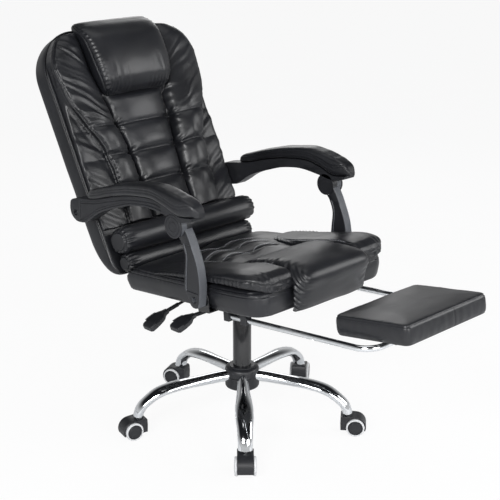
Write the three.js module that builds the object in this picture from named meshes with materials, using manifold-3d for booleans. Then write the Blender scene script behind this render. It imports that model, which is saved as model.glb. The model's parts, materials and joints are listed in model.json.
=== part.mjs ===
// Reclining office chair with a pull-out footrest, in millimetres, +Z up, facing -Y.
// The sitter's right side is -X. The origin is on the floor, under the middle of the chair's box.
import * as THREE from 'three';
import { mergeVertices } from 'three/addons/utils/BufferGeometryUtils.js';
import Module from 'manifold-3d';

const wasm = await Module();
wasm.setup();

// Driving dimensions: fits and stock
const gap = 0.3;
const overrun = 5;
const weldDistance = 0.0001;
const boardThickness = 12;
const steelThickness = 4;
const boltRadius = 5;
const boltHeadRadius = 8;
const boltHeadThickness = 5;
const boltSinkDepth = 14;

// Driving dimensions: base, column and castors
const castorCircleRadius = 300;
const starTurn = 11.3;
const legCount = 5;
const legTipHeight = 60;
const legCrownHeight = 137;
const legWidth = 48;
const hubRadius = 33;
const hubFootHeight = 100;
const hubTopHeight = 158;
const hubCoverRadius = 47;
const hubCoverFootHeight = 103;
const hubCoverTopHeight = 166;
const hubCoverChamfer = 9;
const columnRadius = 25;
const columnFootHeight = 101;
const columnTopDrop = 8;
const columnFloor = 14;
const pistonRadius = 14;
const pistonFootHeight = 118;
const pistonTopDrop = 23;
const wheelRadius = 25;
const wheelSides = 16;
const wheelWidth = 9.5;
const wheelPairWidth = 56;
const wheelEdge = 2.5;
const axleRadius = 4;
const castorTrail = 20;
const castorTurns = [38, 115, 165.5, -134, -50];
const hoodWidth = 43;
const hoodWall = 4;
const hoodTopHeight = 56;
const hoodSkirtHeight = 15;
const hoodNoseReach = 20;
const stemRadius = 5.5;
const stemCollarRadius = 9;
const stemLength = 24;
const stemSeatDepth = 8;

// Driving dimensions: seat, all measured in the seat's own tilted frame
const seatTilt = 5.5;
const seatHeight = 415;
const seatRear = 198;
const seatFront = 305;
const seatHalfWidth = 246;
const seatThickness = 77;
const seatBandThickness = 60;
const seatBoardInset = 9;
const seatCrownRise = 14;
const seatSquareness = 0.35;
const seatLipThickness = 22;
const pillowInnerEdge = 128;
const pillowOuterEdge = 250;
const pillowRear = -62;
const pillowFront = 314;
const pillowTop = 111;
const panelHalfWidth = 126;
const panelTopThickness = 50;
const panelFrontThickness = 35;
const panelRear = 226;
const panelFoot = 5;

// Driving dimensions: mechanism and levers, whose drops are measured down from the seat board's height
const mechanismHalfWidth = 62;
const mechanismFront = 58;
const mechanismRear = 122;
const mechanismDrop = 77;
const mechanismNeckDrop = 63;
const mechanismPlateHalfWidth = 104;
const mechanismPlateReach = 120;
const leverRodRadius = 4;
const leverPivotX = 50;
const leverPivotRadius = 5;
const leverPivotHalfLength = 7.5;
const leverSlotHalfWidth = 5;
const leverSlotHalfHeight = 12;
const leverNeckReach = 196;
const leverTipReach = 256;
const leverGrip = 14;
const leverPaddleWidth = 30;
const leverPaddleThickness = 13;
const heightLeverForward = 15;
const heightLeverRootDrop = 49;
const heightLeverNeckDrop = 50;
const heightLeverTipDrop = 70;
const reclineLeverBack = 93;
const reclineLeverRootDrop = 39;
const reclineLeverNeckDrop = 70;
const reclineLeverTipDrop = 99;

// Driving dimensions: footrest
const railHalfSpacing = 182;
const railDrop = 31;
const railRadius = 7.5;
const railRearEnd = 130;
const railCross = 599;
const railBendRadius = 45;
const guideFront = 208;
const guideLength = 78;
const guideTab = 9;
const guideHalfWidth = 11;
const footTilt = 3.5;
const footLift = 11.5;
const footHalfWidth = 152;
const footRear = 131;
const footFront = 85;
const footThickness = 50;
const footCorner = 14;
const footBoardInset = 8;
const clampHalfSpacing = 84;
const clampWidth = 22;
const clampWall = 2.8;
const clampFoot = 22;

// Driving dimensions: back, measured up and forward from the lower rear edge of its shell
const backTilt = 28;
const hingeBack = 267;
const hingeRise = 24.7;
const shellBehindHinge = 19;
const shellAboveHinge = 18;
const backThickness = 62;
const backHalfWidth = 250;
const backTop = 658;
const backFoot = 32;
const backFootCurve = 69;
const backTopCorner = 125;
const backFootCorner = 26;
const hingeNotchHalfWidth = 188;
const hingeNotchTop = 28;
const hingeBarX = 150;
const hingeBarThickness = 8;
const hingeBarDepth = 15;
const hingeBarFront = 20;
const hingeBarRear = 250;
const hingeEyeRadius = 14;
const hingePinRadius = 5;
const backEarThickness = 6;
const backBracketHalfWidth = 176;
const cushionFoot = 96;
const cushionBorderDepth = 118;
const cushionCrownDepth = 104;
const cushionChannelDepth = 74;
const cushionHeadDepth = 86;
const cushionSeamDrop = 8;
const headFootShare = 0.69;
const headTopShare = 1.026;
const headHalfWidth = 127;
const headDepth = 64;
const upperRollHalfLength = 240;
const upperRollForward = 106;
const upperRollRise = 56.5;
const upperRollHalfDepth = 43;
const upperRollHalfHeight = 33;
const lowerRollHalfLength = 231;
const lowerRollForward = 89.5;
const lowerRollDrop = 3.2;
const lowerRollHalfDepth = 26.8;
const lowerRollHalfHeight = 26;

// Driving dimensions: arms, whose post, rail, back and seat form one parallelogram
const armInner = 256;
const armOuter = 296;
const armPadInner = 251.3;
const armPadOuter = 308;
const armPivotForward = 126.8;
const armPivotRise = 34;
const postLean = 60;
const postRise = 178;
const postInner = 257;
const postOuter = 282;
const barrelRadius = 29;
const knuckleInner = 274;
const knuckleOuter = 290;
const armCapRadius = 30;
const armCapThickness = 6;
const armPadRear = 404;
const armPadFront = 22;
const armPadThickness = 34;
const armPadLift = 2;
const armBracketInner = 251;
const armBracketFoot = 46;
const armBracketHalfWidth = 20;
const armEdgeBreak = 1.8;

// Materials
const material = (color, roughness, metalness) =>
  new THREE.MeshStandardMaterial({ color, roughness, metalness });
const leather = material(0x1c1d20, 0.45, 0);
const plastic = material(0x16171a, 0.5, 0);
const ribbedPlastic = material(0x2a2c30, 0.55, 0);
const blackSteel = material(0x141416, 0.35, 0.6);
const chrome = material(0xd9dcdf, 0.12, 1);
const zincSteel = material(0x9a9da0, 0.4, 0.9);
const plywood = material(0x8a6a45, 0.8, 0);
const wheelTyre = material(0xdcdde0, 0.6, 0);

// Small maths
const radians = THREE.MathUtils.degToRad;
const sides = [{ side: 'left', sign: 1 }, { side: 'right', sign: -1 }];

// Value at a place in a table of [place, value] rows, straight between the rows
function lookUp(table, place) {
  const rows = [...table].sort((one, other) => one[0] - other[0]);
  if (place <= rows[0][0]) {
    return rows[0][1];
  }
  for (let row = 1; row < rows.length; row += 1) {
    if (place <= rows[row][0]) {
      const [lowPlace, lowValue] = rows[row - 1];
      const [highPlace, highValue] = rows[row];
      return THREE.MathUtils.mapLinear(place, lowPlace, highPlace, lowValue, highValue);
    }
  }
  return rows[rows.length - 1][1];
}

// Rows of shares turned into lengths
const scaled = (shareRows, first, second = first) => shareRows.map(([a, b]) => [a * first, b * second]);

// Points of a smooth line through the given [a, b] points
function smoothLine(points, steps) {
  const curve = new THREE.CatmullRomCurve3(points.map(([a, b]) => new THREE.Vector3(a, b, 0)));
  return curve.getPoints(steps).map((point) => [point.x, point.y]);
}

// Solids: joins and cuts
function solid(geometry) {
  const bare = geometry.clone();
  bare.deleteAttribute('normal');
  bare.deleteAttribute('uv');
  const welded = mergeVertices(bare, weldDistance);
  const mesh = new wasm.Mesh({
    numProp: 3,
    vertProperties: new Float32Array(welded.attributes.position.array),
    triVerts: new Uint32Array(welded.index.array),
  });
  return new wasm.Manifold(mesh);
}

function geometryOf(body) {
  const mesh = body.getMesh();
  const geometry = new THREE.BufferGeometry();
  geometry.setAttribute('position', new THREE.BufferAttribute(mesh.vertProperties, 3));
  geometry.setIndex(new THREE.BufferAttribute(mesh.triVerts, 1));
  return geometry;
}

function join(...geometries) {
  const bodies = geometries.map(solid);
  return geometryOf(bodies.reduce((whole, body) => whole.add(body)));
}

function cut(geometry, ...tools) {
  return geometryOf(tools.map(solid).reduce((whole, tool) => whole.subtract(tool), solid(geometry)));
}

// Solids: simple shapes
const boxBetween = (x0, x1, y0, y1, z0, z1) => {
  const box = new THREE.BoxGeometry(Math.abs(x1 - x0), Math.abs(y1 - y0), Math.abs(z1 - z0));
  return box.translate((x0 + x1) / 2, (y0 + y1) / 2, (z0 + z1) / 2);
};

const rodX = (radius, x0, x1, y, z, steps = 12) => {
  const rod = new THREE.CylinderGeometry(radius, radius, Math.abs(x1 - x0), steps);
  return rod.rotateZ(Math.PI / 2).translate((x0 + x1) / 2, y, z);
};

const rodY = (radius, y0, y1, x, z, steps = 12) => {
  const rod = new THREE.CylinderGeometry(radius, radius, Math.abs(y1 - y0), steps);
  return rod.translate(x, (y0 + y1) / 2, z);
};

const rodZ = (radius, z0, z1, x, y, steps = 20) => {
  const rod = new THREE.CylinderGeometry(radius, radius, Math.abs(z1 - z0), steps);
  return rod.rotateX(Math.PI / 2).translate(x, y, (z0 + z1) / 2);
};

// Solid of revolution about Z from closed [radius, z] points
const turned = (points, steps = 20) => {
  const profile = points.map(([radius, z]) => new THREE.Vector2(radius, z));
  return new THREE.LatheGeometry([...profile, profile[0].clone()], steps).rotateX(Math.PI / 2);
};

// Plate whose outline lies in the side view, as [y, z] points, and runs along X
function sidePlate(outline, x0, x1, bevel = 0) {
  const shape = new THREE.Shape(outline.map(([y, z]) => new THREE.Vector2(y, z)));
  const plate = new THREE.ExtrudeGeometry(shape, {
    depth: Math.abs(x1 - x0) - bevel * 2,
    bevelEnabled: bevel > 0,
    bevelThickness: bevel,
    bevelSize: bevel,
    bevelOffset: -bevel,
    bevelSegments: 1,
  });
  const basis = new THREE.Matrix4().makeBasis(
    new THREE.Vector3(0, 1, 0),
    new THREE.Vector3(0, 0, 1),
    new THREE.Vector3(1, 0, 0),
  );
  return plate.applyMatrix4(basis).translate(Math.min(x0, x1) + bevel, 0, 0);
}

// Rounded rectangle seen from above, as a shape
function roundedRectangle(x0, x1, y0, y1, corner) {
  const shape = new THREE.Shape();
  shape.moveTo(x0 + corner, y0);
  shape.lineTo(x1 - corner, y0);
  shape.absarc(x1 - corner, y0 + corner, corner, -Math.PI / 2, 0);
  shape.absarc(x1 - corner, y1 - corner, corner, 0, Math.PI / 2);
  shape.absarc(x0 + corner, y1 - corner, corner, Math.PI / 2, Math.PI);
  shape.absarc(x0 + corner, y0 + corner, corner, Math.PI, Math.PI * 1.5);
  return shape;
}

const flatPlate = (shape, z0, z1, curveSegments = 4) =>
  new THREE.ExtrudeGeometry(shape, { depth: z1 - z0, bevelEnabled: false, curveSegments }).translate(0, 0, z0);

// Circle as [a, b] points
const circlePoints = (radius, a, b, steps) => Array.from({ length: steps }, (_, step) => {
  const angle = (step / steps) * Math.PI * 2;
  return [a + radius * Math.cos(angle), b + radius * Math.sin(angle)];
});

// Closed body through rings of equally many points, with a fan over each end
function loft(rings) {
  const count = rings[0].length;
  const points = rings.flat();
  const index = [];
  for (let ring = 0; ring < rings.length - 1; ring += 1) {
    for (let step = 0; step < count; step += 1) {
      const here = ring * count + step;
      const next = ring * count + ((step + 1) % count);
      index.push(here, next, next + count, here, next + count, here + count);
    }
  }
  [0, rings.length - 1].forEach((ring) => {
    const centre = new THREE.Vector3();
    rings[ring].forEach((point) => centre.add(point));
    points.push(centre.divideScalar(count));
    for (let step = 0; step < count; step += 1) {
      const here = ring * count + step;
      const next = ring * count + ((step + 1) % count);
      index.push(...(ring === 0 ? [next, here] : [here, next]), points.length - 1);
    }
  });
  let volume = 0;
  for (let corner = 0; corner < index.length; corner += 3) {
    const [a, b, c] = [0, 1, 2].map((offset) => points[index[corner + offset]]);
    volume += a.dot(b.clone().cross(c));
  }
  if (volume < 0) {
    index.reverse();
  }
  const geometry = new THREE.BufferGeometry();
  geometry.setAttribute('position', new THREE.Float32BufferAttribute(points.flatMap((p) => [p.x, p.y, p.z]), 3));
  geometry.setIndex(index);
  return geometry;
}

const softPower = (value, power) => Math.sign(value) * Math.abs(value) ** power;

// Pillow section: a full rounded ring round a centre, as [a, b] points
const pillowRing = (halfA, halfB, squareness, steps) => Array.from({ length: steps }, (_, step) => {
  const angle = (step / steps) * Math.PI * 2;
  return [halfA * softPower(Math.cos(angle), squareness), halfB * softPower(Math.sin(angle), squareness)];
});

// Cushion section: flat below, crowned above, as [a, b] points
const domeRing = (halfWidth, height, squareness, steps) => Array.from({ length: steps }, (_, step) => {
  const angle = (step / (steps - 1)) * Math.PI;
  return [halfWidth * softPower(Math.cos(angle), squareness), height * softPower(Math.sin(angle), squareness * 0.7)];
});

// The whole chair, with the parts that share a tilt in one group each
const chair = new THREE.Group();
const frame = new THREE.Group();
chair.add(frame);
const seatFrame = new THREE.Group();
seatFrame.position.z = seatHeight;
seatFrame.rotation.x = -radians(seatTilt);
frame.add(seatFrame);
const backFrame = new THREE.Group();
backFrame.position.set(0, hingeBack, hingeRise);
backFrame.rotation.x = -radians(backTilt - seatTilt);
seatFrame.add(backFrame);
const shellFrame = new THREE.Group();
shellFrame.position.set(0, shellBehindHinge, shellAboveHinge);
backFrame.add(shellFrame);
const footFrame = new THREE.Group();
footFrame.position.set(0, -railCross, -railDrop);
footFrame.rotation.x = -radians(footTilt);
seatFrame.add(footFrame);

function addPiece(group, name, geometry, finish) {
  const mesh = new THREE.Mesh(geometry, finish);
  mesh.name = name;
  group.add(mesh);
}

// A level piece drawn about the column's foot, turned into the seat's frame
const intoSeat = (geometry) => geometry.translate(0, 0, -seatHeight).rotateX(radians(seatTilt));

// Base: one star of five bent chrome legs welded round a hub tube
const legShares = [
  { reach: 0.09, rise: 1, width: 0.35, depth: 0.34 },
  { reach: 0.23, rise: 1, width: 0.34, depth: 0.31 },
  { reach: 0.4, rise: 0.96, width: 0.37, depth: 0.29 },
  { reach: 0.55, rise: 0.93, width: 0.44, depth: 0.27 },
  { reach: 0.68, rise: 0.87, width: 0.5, depth: 0.26 },
  { reach: 0.8, rise: 0.75, width: 0.49, depth: 0.26 },
  { reach: 0.89, rise: 0.54, width: 0.43, depth: 0.26 },
  { reach: 0.965, rise: 0.27, width: 0.4, depth: 0.26 },
  { reach: 1, rise: -0.1, width: 0.39, depth: 0.26 },
];

function legBody(angle, clearance) {
  const rise = legCrownHeight - legTipHeight;
  const line = legShares.map((share) =>
    new THREE.Vector3(share.reach * castorCircleRadius, 0, legTipHeight + share.rise * rise));
  const rings = legShares.map((share, place) => {
    const before = line[Math.max(place - 1, 0)];
    const after = line[Math.min(place + 1, line.length - 1)];
    const along = after.clone().sub(before).normalize();
    const across = new THREE.Vector3(0, 1, 0);
    const up = along.clone().cross(across).negate();
    const section = pillowRing(share.width * legWidth + clearance, share.depth * legWidth + clearance, 0.85, 12);
    return section.map(([a, b]) => line[place].clone().addScaledVector(across, a).addScaledVector(up, b));
  });
  return loft(rings).rotateZ(angle);
}

const legAngles = Array.from({ length: legCount }, (_, leg) => radians(starTurn + (leg * 360) / legCount));
const starReach = castorCircleRadius + legWidth;
const tipCutter = boxBetween(-starReach, starReach, -starReach, starReach, -overrun, legTipHeight);
const stemSockets = legAngles.map((angle) => rodZ(
  stemRadius + gap,
  legTipHeight - overrun,
  hoodTopHeight - stemSeatDepth + stemLength + gap * 2,
  castorCircleRadius * Math.cos(angle),
  castorCircleRadius * Math.sin(angle),
  12,
));
const hubTube = rodZ(hubRadius, hubFootHeight, hubTopHeight, 0, 0);
const columnBore = rodZ(columnRadius + gap, hubFootHeight - overrun, hubTopHeight + overrun, 0, 0);
const starBody = join(hubTube, ...legAngles.map((angle) => legBody(angle, 0)));
addPiece(frame, 'base_star', cut(starBody, tipCutter, columnBore, ...stemSockets), chrome);

// Hub covers: two black shells that meet at the legs' middle line
const hubCoverWhole = turned([
  [hubRadius + gap, hubCoverFootHeight],
  [hubCoverRadius, hubCoverFootHeight],
  [hubCoverRadius, hubCoverTopHeight - hubCoverChamfer],
  [hubCoverRadius - hubCoverChamfer, hubCoverTopHeight],
  [columnRadius + gap, hubCoverTopHeight],
  [columnRadius + gap, hubTopHeight + gap],
  [hubRadius + gap, hubTopHeight + gap],
]);
const hubCoverBody = cut(hubCoverWhole, ...legAngles.map((angle) => legBody(angle, gap)));
const belowSplit = boxBetween(
  -hubCoverRadius - overrun,
  hubCoverRadius + overrun,
  -hubCoverRadius - overrun,
  hubCoverRadius + overrun,
  0,
  legCrownHeight + gap / 2,
);
const aboveSplit = belowSplit.clone().translate(0, 0, legCrownHeight);
addPiece(frame, 'hub_cover_upper', cut(hubCoverBody, belowSplit), plastic);
addPiece(frame, 'hub_cover_lower', cut(hubCoverBody, aboveSplit), plastic);

// Gas lift: outer tube in the hub, piston rod up into the mechanism
const mechanismFloorHeight = seatHeight - mechanismDrop;
const columnTopHeight = mechanismFloorHeight - columnTopDrop;
const pistonTopHeight = seatHeight - pistonTopDrop;
addPiece(frame, 'lift_outer_tube', turned([
  [0, columnFootHeight],
  [columnRadius, columnFootHeight],
  [columnRadius, columnTopHeight],
  [pistonRadius + gap, columnTopHeight],
  [pistonRadius + gap, columnFootHeight + columnFloor],
  [0, columnFootHeight + columnFloor],
]), blackSteel);
addPiece(frame, 'lift_piston', rodZ(pistonRadius, pistonFootHeight, pistonTopHeight, 0, 0, 20), zincSteel);

// Castors: steel stem, moulded hood, and twin wheels on one axle
const wheelHeight = wheelRadius;
const wheelCornerRadius = wheelRadius / Math.cos(Math.PI / wheelSides);
const halfPair = wheelPairWidth / 2;
const wheelInner = halfPair - wheelWidth;

function wheelPair() {
  const half = [
    [axleRadius, wheelInner],
    [wheelCornerRadius, wheelInner],
    [wheelCornerRadius, halfPair - wheelEdge],
    [wheelCornerRadius - wheelEdge, halfPair],
    [0, halfPair],
  ];
  const mirrored = half.map(([radius, z]) => [radius, -z]).reverse();
  const pair = turned([...mirrored, ...half], wheelSides);
  return pair.rotateZ(Math.PI / wheelSides).rotateX(Math.PI / 2);
}

function hoodBody() {
  const reach = wheelRadius + hoodWall;
  const trailing = smoothLine([
    [-hoodNoseReach, hoodSkirtHeight],
    [-hoodNoseReach, hoodTopHeight - hoodWall],
    [-hoodNoseReach + hoodWall, hoodTopHeight],
  ], 4);
  const arch = Array.from({ length: 9 }, (_, step) => {
    const angle = THREE.MathUtils.lerp(Math.PI * 0.5, -Math.PI * 0.12, step / 8);
    return [castorTrail + reach * Math.cos(angle), wheelHeight + reach * Math.sin(angle)];
  });
  const outline = [...trailing, ...arch];
  const whole = sidePlate(outline, -hoodWidth / 2, hoodWidth / 2, hoodWall / 4);
  const wheelWells = [1, -1].map((sign) => rodX(
    wheelCornerRadius + gap * 2,
    sign * (wheelInner - gap * 2),
    sign * hoodWidth,
    castorTrail,
    wheelHeight,
    18,
  ));
  const axleBore = rodX(axleRadius + gap, -hoodWidth, hoodWidth, castorTrail, wheelHeight);
  const stemBore = rodZ(stemRadius + gap, hoodTopHeight - stemSeatDepth, hoodTopHeight + overrun, 0, 0, 12);
  return cut(whole, ...wheelWells, axleBore, stemBore).rotateZ(-Math.PI / 2);
}

legAngles.forEach((angle, leg) => {
  const castor = new THREE.Group();
  castor.position.set(castorCircleRadius * Math.cos(angle), castorCircleRadius * Math.sin(angle), 0);
  castor.rotation.z = radians(castorTurns[leg]);
  frame.add(castor);
  const stemFoot = hoodTopHeight - stemSeatDepth + gap;
  const collarFoot = hoodTopHeight + gap;
  const collarTop = legTipHeight - gap;
  const stem = turned([
    [0, stemFoot],
    [stemRadius, stemFoot],
    [stemRadius, collarFoot],
    [stemCollarRadius, collarFoot],
    [stemCollarRadius, collarTop],
    [stemRadius, collarTop],
    [stemRadius, stemFoot + stemLength],
    [0, stemFoot + stemLength],
  ], 12);
  addPiece(castor, `castor_${leg + 1}_stem`, stem, zincSteel);
  addPiece(castor, `castor_${leg + 1}_hood`, hoodBody(), plastic);
  addPiece(castor, `castor_${leg + 1}_wheels`, wheelPair().translate(castorTrail, 0, wheelHeight), wheelTyre);
});

// Seat board and the cushion pocket that holds it
const seatBoardShape = (inset) => roundedRectangle(
  -seatHalfWidth + inset * 2,
  seatHalfWidth - inset * 2,
  -seatFront + inset * 2,
  seatRear - inset * 2,
  seatBoardInset * 4,
);
addPiece(seatFrame, 'seat_board', flatPlate(seatBoardShape(seatBoardInset + gap), 0, boardThickness), plywood);

// Seat cushion: rows from rear to front; the rear lip dips to make room for the lower lumbar roll
const seatShares = [
  { depth: 0, width: 0.975, height: 0.62, lip: 0.7, crown: 0 },
  { depth: 0.012, width: 0.995, height: 0.76, lip: 1, crown: 0 },
  { depth: 0.05, width: 1, height: 0.8, lip: 1, crown: 0 },
  { depth: 0.056, width: 1, height: 0.84, lip: 0, crown: 0 },
  { depth: 0.09, width: 1, height: 0.95, lip: 0, crown: 0 },
  { depth: 0.16, width: 1, height: 1, lip: 0, crown: 0.2 },
  { depth: 0.3, width: 1, height: 1.02, lip: 0, crown: 0 },
  { depth: 0.42, width: 1, height: 1, lip: 0, crown: 0.1 },
  { depth: 0.5, width: 1, height: 0.9, lip: 0, crown: 0.8 },
  { depth: 0.56, width: 1, height: 0.775, lip: 0, crown: 1 },
  { depth: 0.72, width: 1, height: 0.775, lip: 0, crown: 0.7 },
  { depth: 0.81, width: 0.995, height: 0.775, lip: 0, crown: 0 },
  { depth: 0.91, width: 0.98, height: 0.775, lip: 0, crown: 0 },
  { depth: 0.96, width: 0.94, height: 0.765, lip: 0, crown: 0 },
  { depth: 1, width: 0.84, height: 0.7, lip: 0, crown: 0 },
];
const seatDepth = seatRear + seatFront;
const seatTopRows = seatShares.map(({ depth, height }) => [seatRear - depth * seatDepth, height * seatThickness]);
const lipHalfWidth = (seatHalfWidth + lowerRollHalfLength) / 2;
const seatRings = seatShares.map(({ depth, width, height, lip, crown }) => {
  const ring = domeRing(width * seatHalfWidth, height * seatThickness, seatSquareness, 23);
  return ring.map(([x, z]) => {
    const bump = Math.max(0, 1 - (x / (pillowInnerEdge * 0.94)) ** 2);
    const rise = z > 0 ? z + crown * seatCrownRise * bump : 0;
    const isLip = lip > 0 && Math.abs(x) < lipHalfWidth;
    return new THREE.Vector3(x, seatRear - depth * seatDepth, isLip ? Math.min(rise, lip * seatLipThickness) : rise);
  });
});
const seatPocket = flatPlate(seatBoardShape(seatBoardInset), -overrun, boardThickness + gap);
addPiece(seatFrame, 'seat_cushion', cut(loft(seatRings), seatPocket), leather);

// Thigh pillows: along the seat's sides, thicker towards the front, with a gathered front end
const pillowShares = [
  { depth: 0, width: 0.6, top: 0.7 },
  { depth: 0.05, width: 0.86, top: 0.76 },
  { depth: 0.2, width: 0.96, top: 0.8 },
  { depth: 0.4, width: 1, top: 0.86 },
  { depth: 0.6, width: 1, top: 0.93 },
  { depth: 0.8, width: 1, top: 1 },
  { depth: 0.92, width: 0.96, top: 0.99 },
  { depth: 0.98, width: 0.86, top: 0.9 },
  { depth: 1, width: 0.7, top: 0.8 },
];

function thighPillow(sign) {
  const middle = (pillowInnerEdge + pillowOuterEdge) / 2;
  const halfWidth = (pillowOuterEdge - pillowInnerEdge) / 2;
  const length = pillowRear + pillowFront;
  const rings = pillowShares.map(({ depth, width, top }) => {
    const y = pillowRear - depth * length;
    const overhang = Math.max(0, -y - seatFront) * 0.6;
    const foot = lookUp(seatTopRows, y) + gap + overhang;
    const halfHeight = (top * pillowTop - foot) / 2;
    const ring = pillowRing(width * halfWidth, halfHeight, 0.72, 18);
    return ring.map(([x, z]) => new THREE.Vector3(sign * (middle + x), y, foot + halfHeight + z));
  });
  return loft(rings);
}

// Front panel: a bent pad from the seat's top over its front edge, as stations of inner and outer point
function frontPanel() {
  const innerFront = seatFront + gap * 2;
  const innerTop = seatBandThickness + gap * 2;
  const outerFront = innerFront + panelFrontThickness;
  const outerTop = innerTop + panelTopThickness;
  const bend = (angle) => [
    innerFront + panelFrontThickness * Math.sin(angle),
    innerTop + panelTopThickness * Math.cos(angle),
  ];
  const topMiddle = (panelRear + innerFront) / 2;
  const stations = [
    [[panelRear, innerTop], [panelRear, outerTop - panelTopThickness * 0.55]],
    [[panelRear, innerTop], [panelRear + panelTopThickness * 0.16, outerTop - panelTopThickness * 0.12]],
    [[topMiddle, innerTop], [topMiddle, outerTop]],
    [[innerFront - gap, innerTop], [innerFront, outerTop - gap]],
    [[innerFront, innerTop], bend(Math.PI * 0.17)],
    [[innerFront, innerTop], bend(Math.PI * 0.34)],
    [[innerFront, innerTop - gap], [outerFront, innerTop]],
    [[innerFront, innerTop / 2], [outerFront, innerTop / 2]],
    [[innerFront, panelFoot], [outerFront - panelFoot / 2, panelFoot]],
    [[innerFront, -panelFoot], [innerFront + panelFrontThickness * 0.7, -panelFoot]],
  ];
  const acrossShares = [
    { across: -1, out: 0.2 }, { across: -1, out: 0.72 }, { across: -0.93, out: 0.94 }, { across: -0.5, out: 1 },
    { across: 0, out: 1.02 }, { across: 0.5, out: 1 }, { across: 0.93, out: 0.94 }, { across: 1, out: 0.72 },
    { across: 1, out: 0.2 }, { across: 0.95, out: 0 }, { across: 0, out: 0 }, { across: -0.95, out: 0 },
  ];
  const rings = stations.map(([inner, outer]) => acrossShares.map(({ across, out }) => new THREE.Vector3(
    across * panelHalfWidth,
    -THREE.MathUtils.lerp(inner[0], outer[0], out),
    THREE.MathUtils.lerp(inner[1], outer[1], out),
  )));
  return loft(rings);
}

sides.forEach(({ side, sign }) => addPiece(seatFrame, `thigh_pillow_${side}`, thighPillow(sign), leather));
addPiece(seatFrame, 'seat_front_panel', frontPanel(), leather);

// Mechanism: a steel plate under the board with hanging walls and a socket for the piston
const levers = [
  {
    name: 'height_lever',
    back: -heightLeverForward,
    rootHeight: seatHeight - heightLeverRootDrop,
    neckHeight: seatHeight - heightLeverNeckDrop,
    tipHeight: seatHeight - heightLeverTipDrop,
  },
  {
    name: 'recline_lever',
    back: reclineLeverBack,
    rootHeight: seatHeight - reclineLeverRootDrop,
    neckHeight: seatHeight - reclineLeverNeckDrop,
    tipHeight: seatHeight - reclineLeverTipDrop,
  },
];
const boardUnderside = -gap;
const plateFoot = boardUnderside - steelThickness;
const mechanismPlate = boxBetween(
  -mechanismPlateHalfWidth,
  mechanismPlateHalfWidth,
  -mechanismPlateReach,
  mechanismPlateReach,
  plateFoot,
  boardUnderside,
);
const levelBox = (x0, x1, y0, y1, z0, z1) => intoSeat(boxBetween(x0, x1, y0, y1, z0, z1));
const wallTop = seatHeight + steelThickness * 3;
const mechanismWalls = cut(
  levelBox(-mechanismHalfWidth, mechanismHalfWidth, -mechanismFront, mechanismRear, mechanismFloorHeight, wallTop),
  levelBox(
    -mechanismHalfWidth + steelThickness,
    mechanismHalfWidth - steelThickness,
    -mechanismFront + steelThickness,
    mechanismRear - steelThickness,
    mechanismFloorHeight - overrun,
    wallTop + overrun * 4,
  ),
);
const aboveUnderside = boxBetween(
  -mechanismPlateHalfWidth,
  mechanismPlateHalfWidth,
  -mechanismPlateReach * 2,
  mechanismPlateReach * 2,
  boardUnderside,
  mechanismPlateReach,
);
const socketRadius = pistonRadius + gap + steelThickness;
const pistonSocket = intoSeat(rodZ(socketRadius, seatHeight - mechanismNeckDrop, wallTop, 0, 0));
const pistonBore = intoSeat(rodZ(pistonRadius + gap, 0, pistonTopHeight + gap * 2, 0, 0));
const leverLugs = levers.flatMap(({ back, rootHeight }) => [1, -1].map((sign) => {
  const lugFace = back + sign * (leverPivotHalfLength + gap);
  return levelBox(
    -leverPivotX - leverPivotRadius,
    -leverPivotX + leverPivotRadius,
    lugFace,
    lugFace + sign * steelThickness,
    rootHeight - leverPivotRadius,
    wallTop,
  );
}));
const lugBores = levers.map(({ back, rootHeight }) => intoSeat(rodY(
  leverPivotRadius / 2 + gap,
  back - leverPivotHalfLength - steelThickness * 2,
  back + leverPivotHalfLength + steelThickness * 2,
  -leverPivotX,
  rootHeight,
)));
const leverSlots = levers.map(({ back, rootHeight }) => levelBox(
  -mechanismHalfWidth - overrun,
  -leverPivotX - gap,
  back - leverSlotHalfWidth,
  back + leverSlotHalfWidth,
  rootHeight - leverSlotHalfHeight,
  rootHeight + leverSlotHalfHeight,
));
const mechanismBody = join(mechanismPlate, mechanismWalls, pistonSocket, ...leverLugs);
const mechanismCuts = [aboveUnderside, pistonBore, ...lugBores, ...leverSlots];
addPiece(seatFrame, 'mechanism_plate', cut(mechanismBody, ...mechanismCuts), blackSteel);

// Levers: a bent steel rod with a pivot barrel, and a moulded paddle on its end
function ringsAlong(line, width, depth, squareness, steps) {
  return line.map((point, place) => {
    const before = line[Math.max(place - 1, 0)];
    const after = line[Math.min(place + 1, line.length - 1)];
    const along = after.clone().sub(before).normalize();
    const across = new THREE.Vector3(0, 1, 0);
    const up = along.clone().cross(across);
    const section = pillowRing(width[place], depth[place], squareness, steps);
    return section.map(([a, b]) => point.clone().addScaledVector(across, a).addScaledVector(up, b));
  });
}

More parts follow.
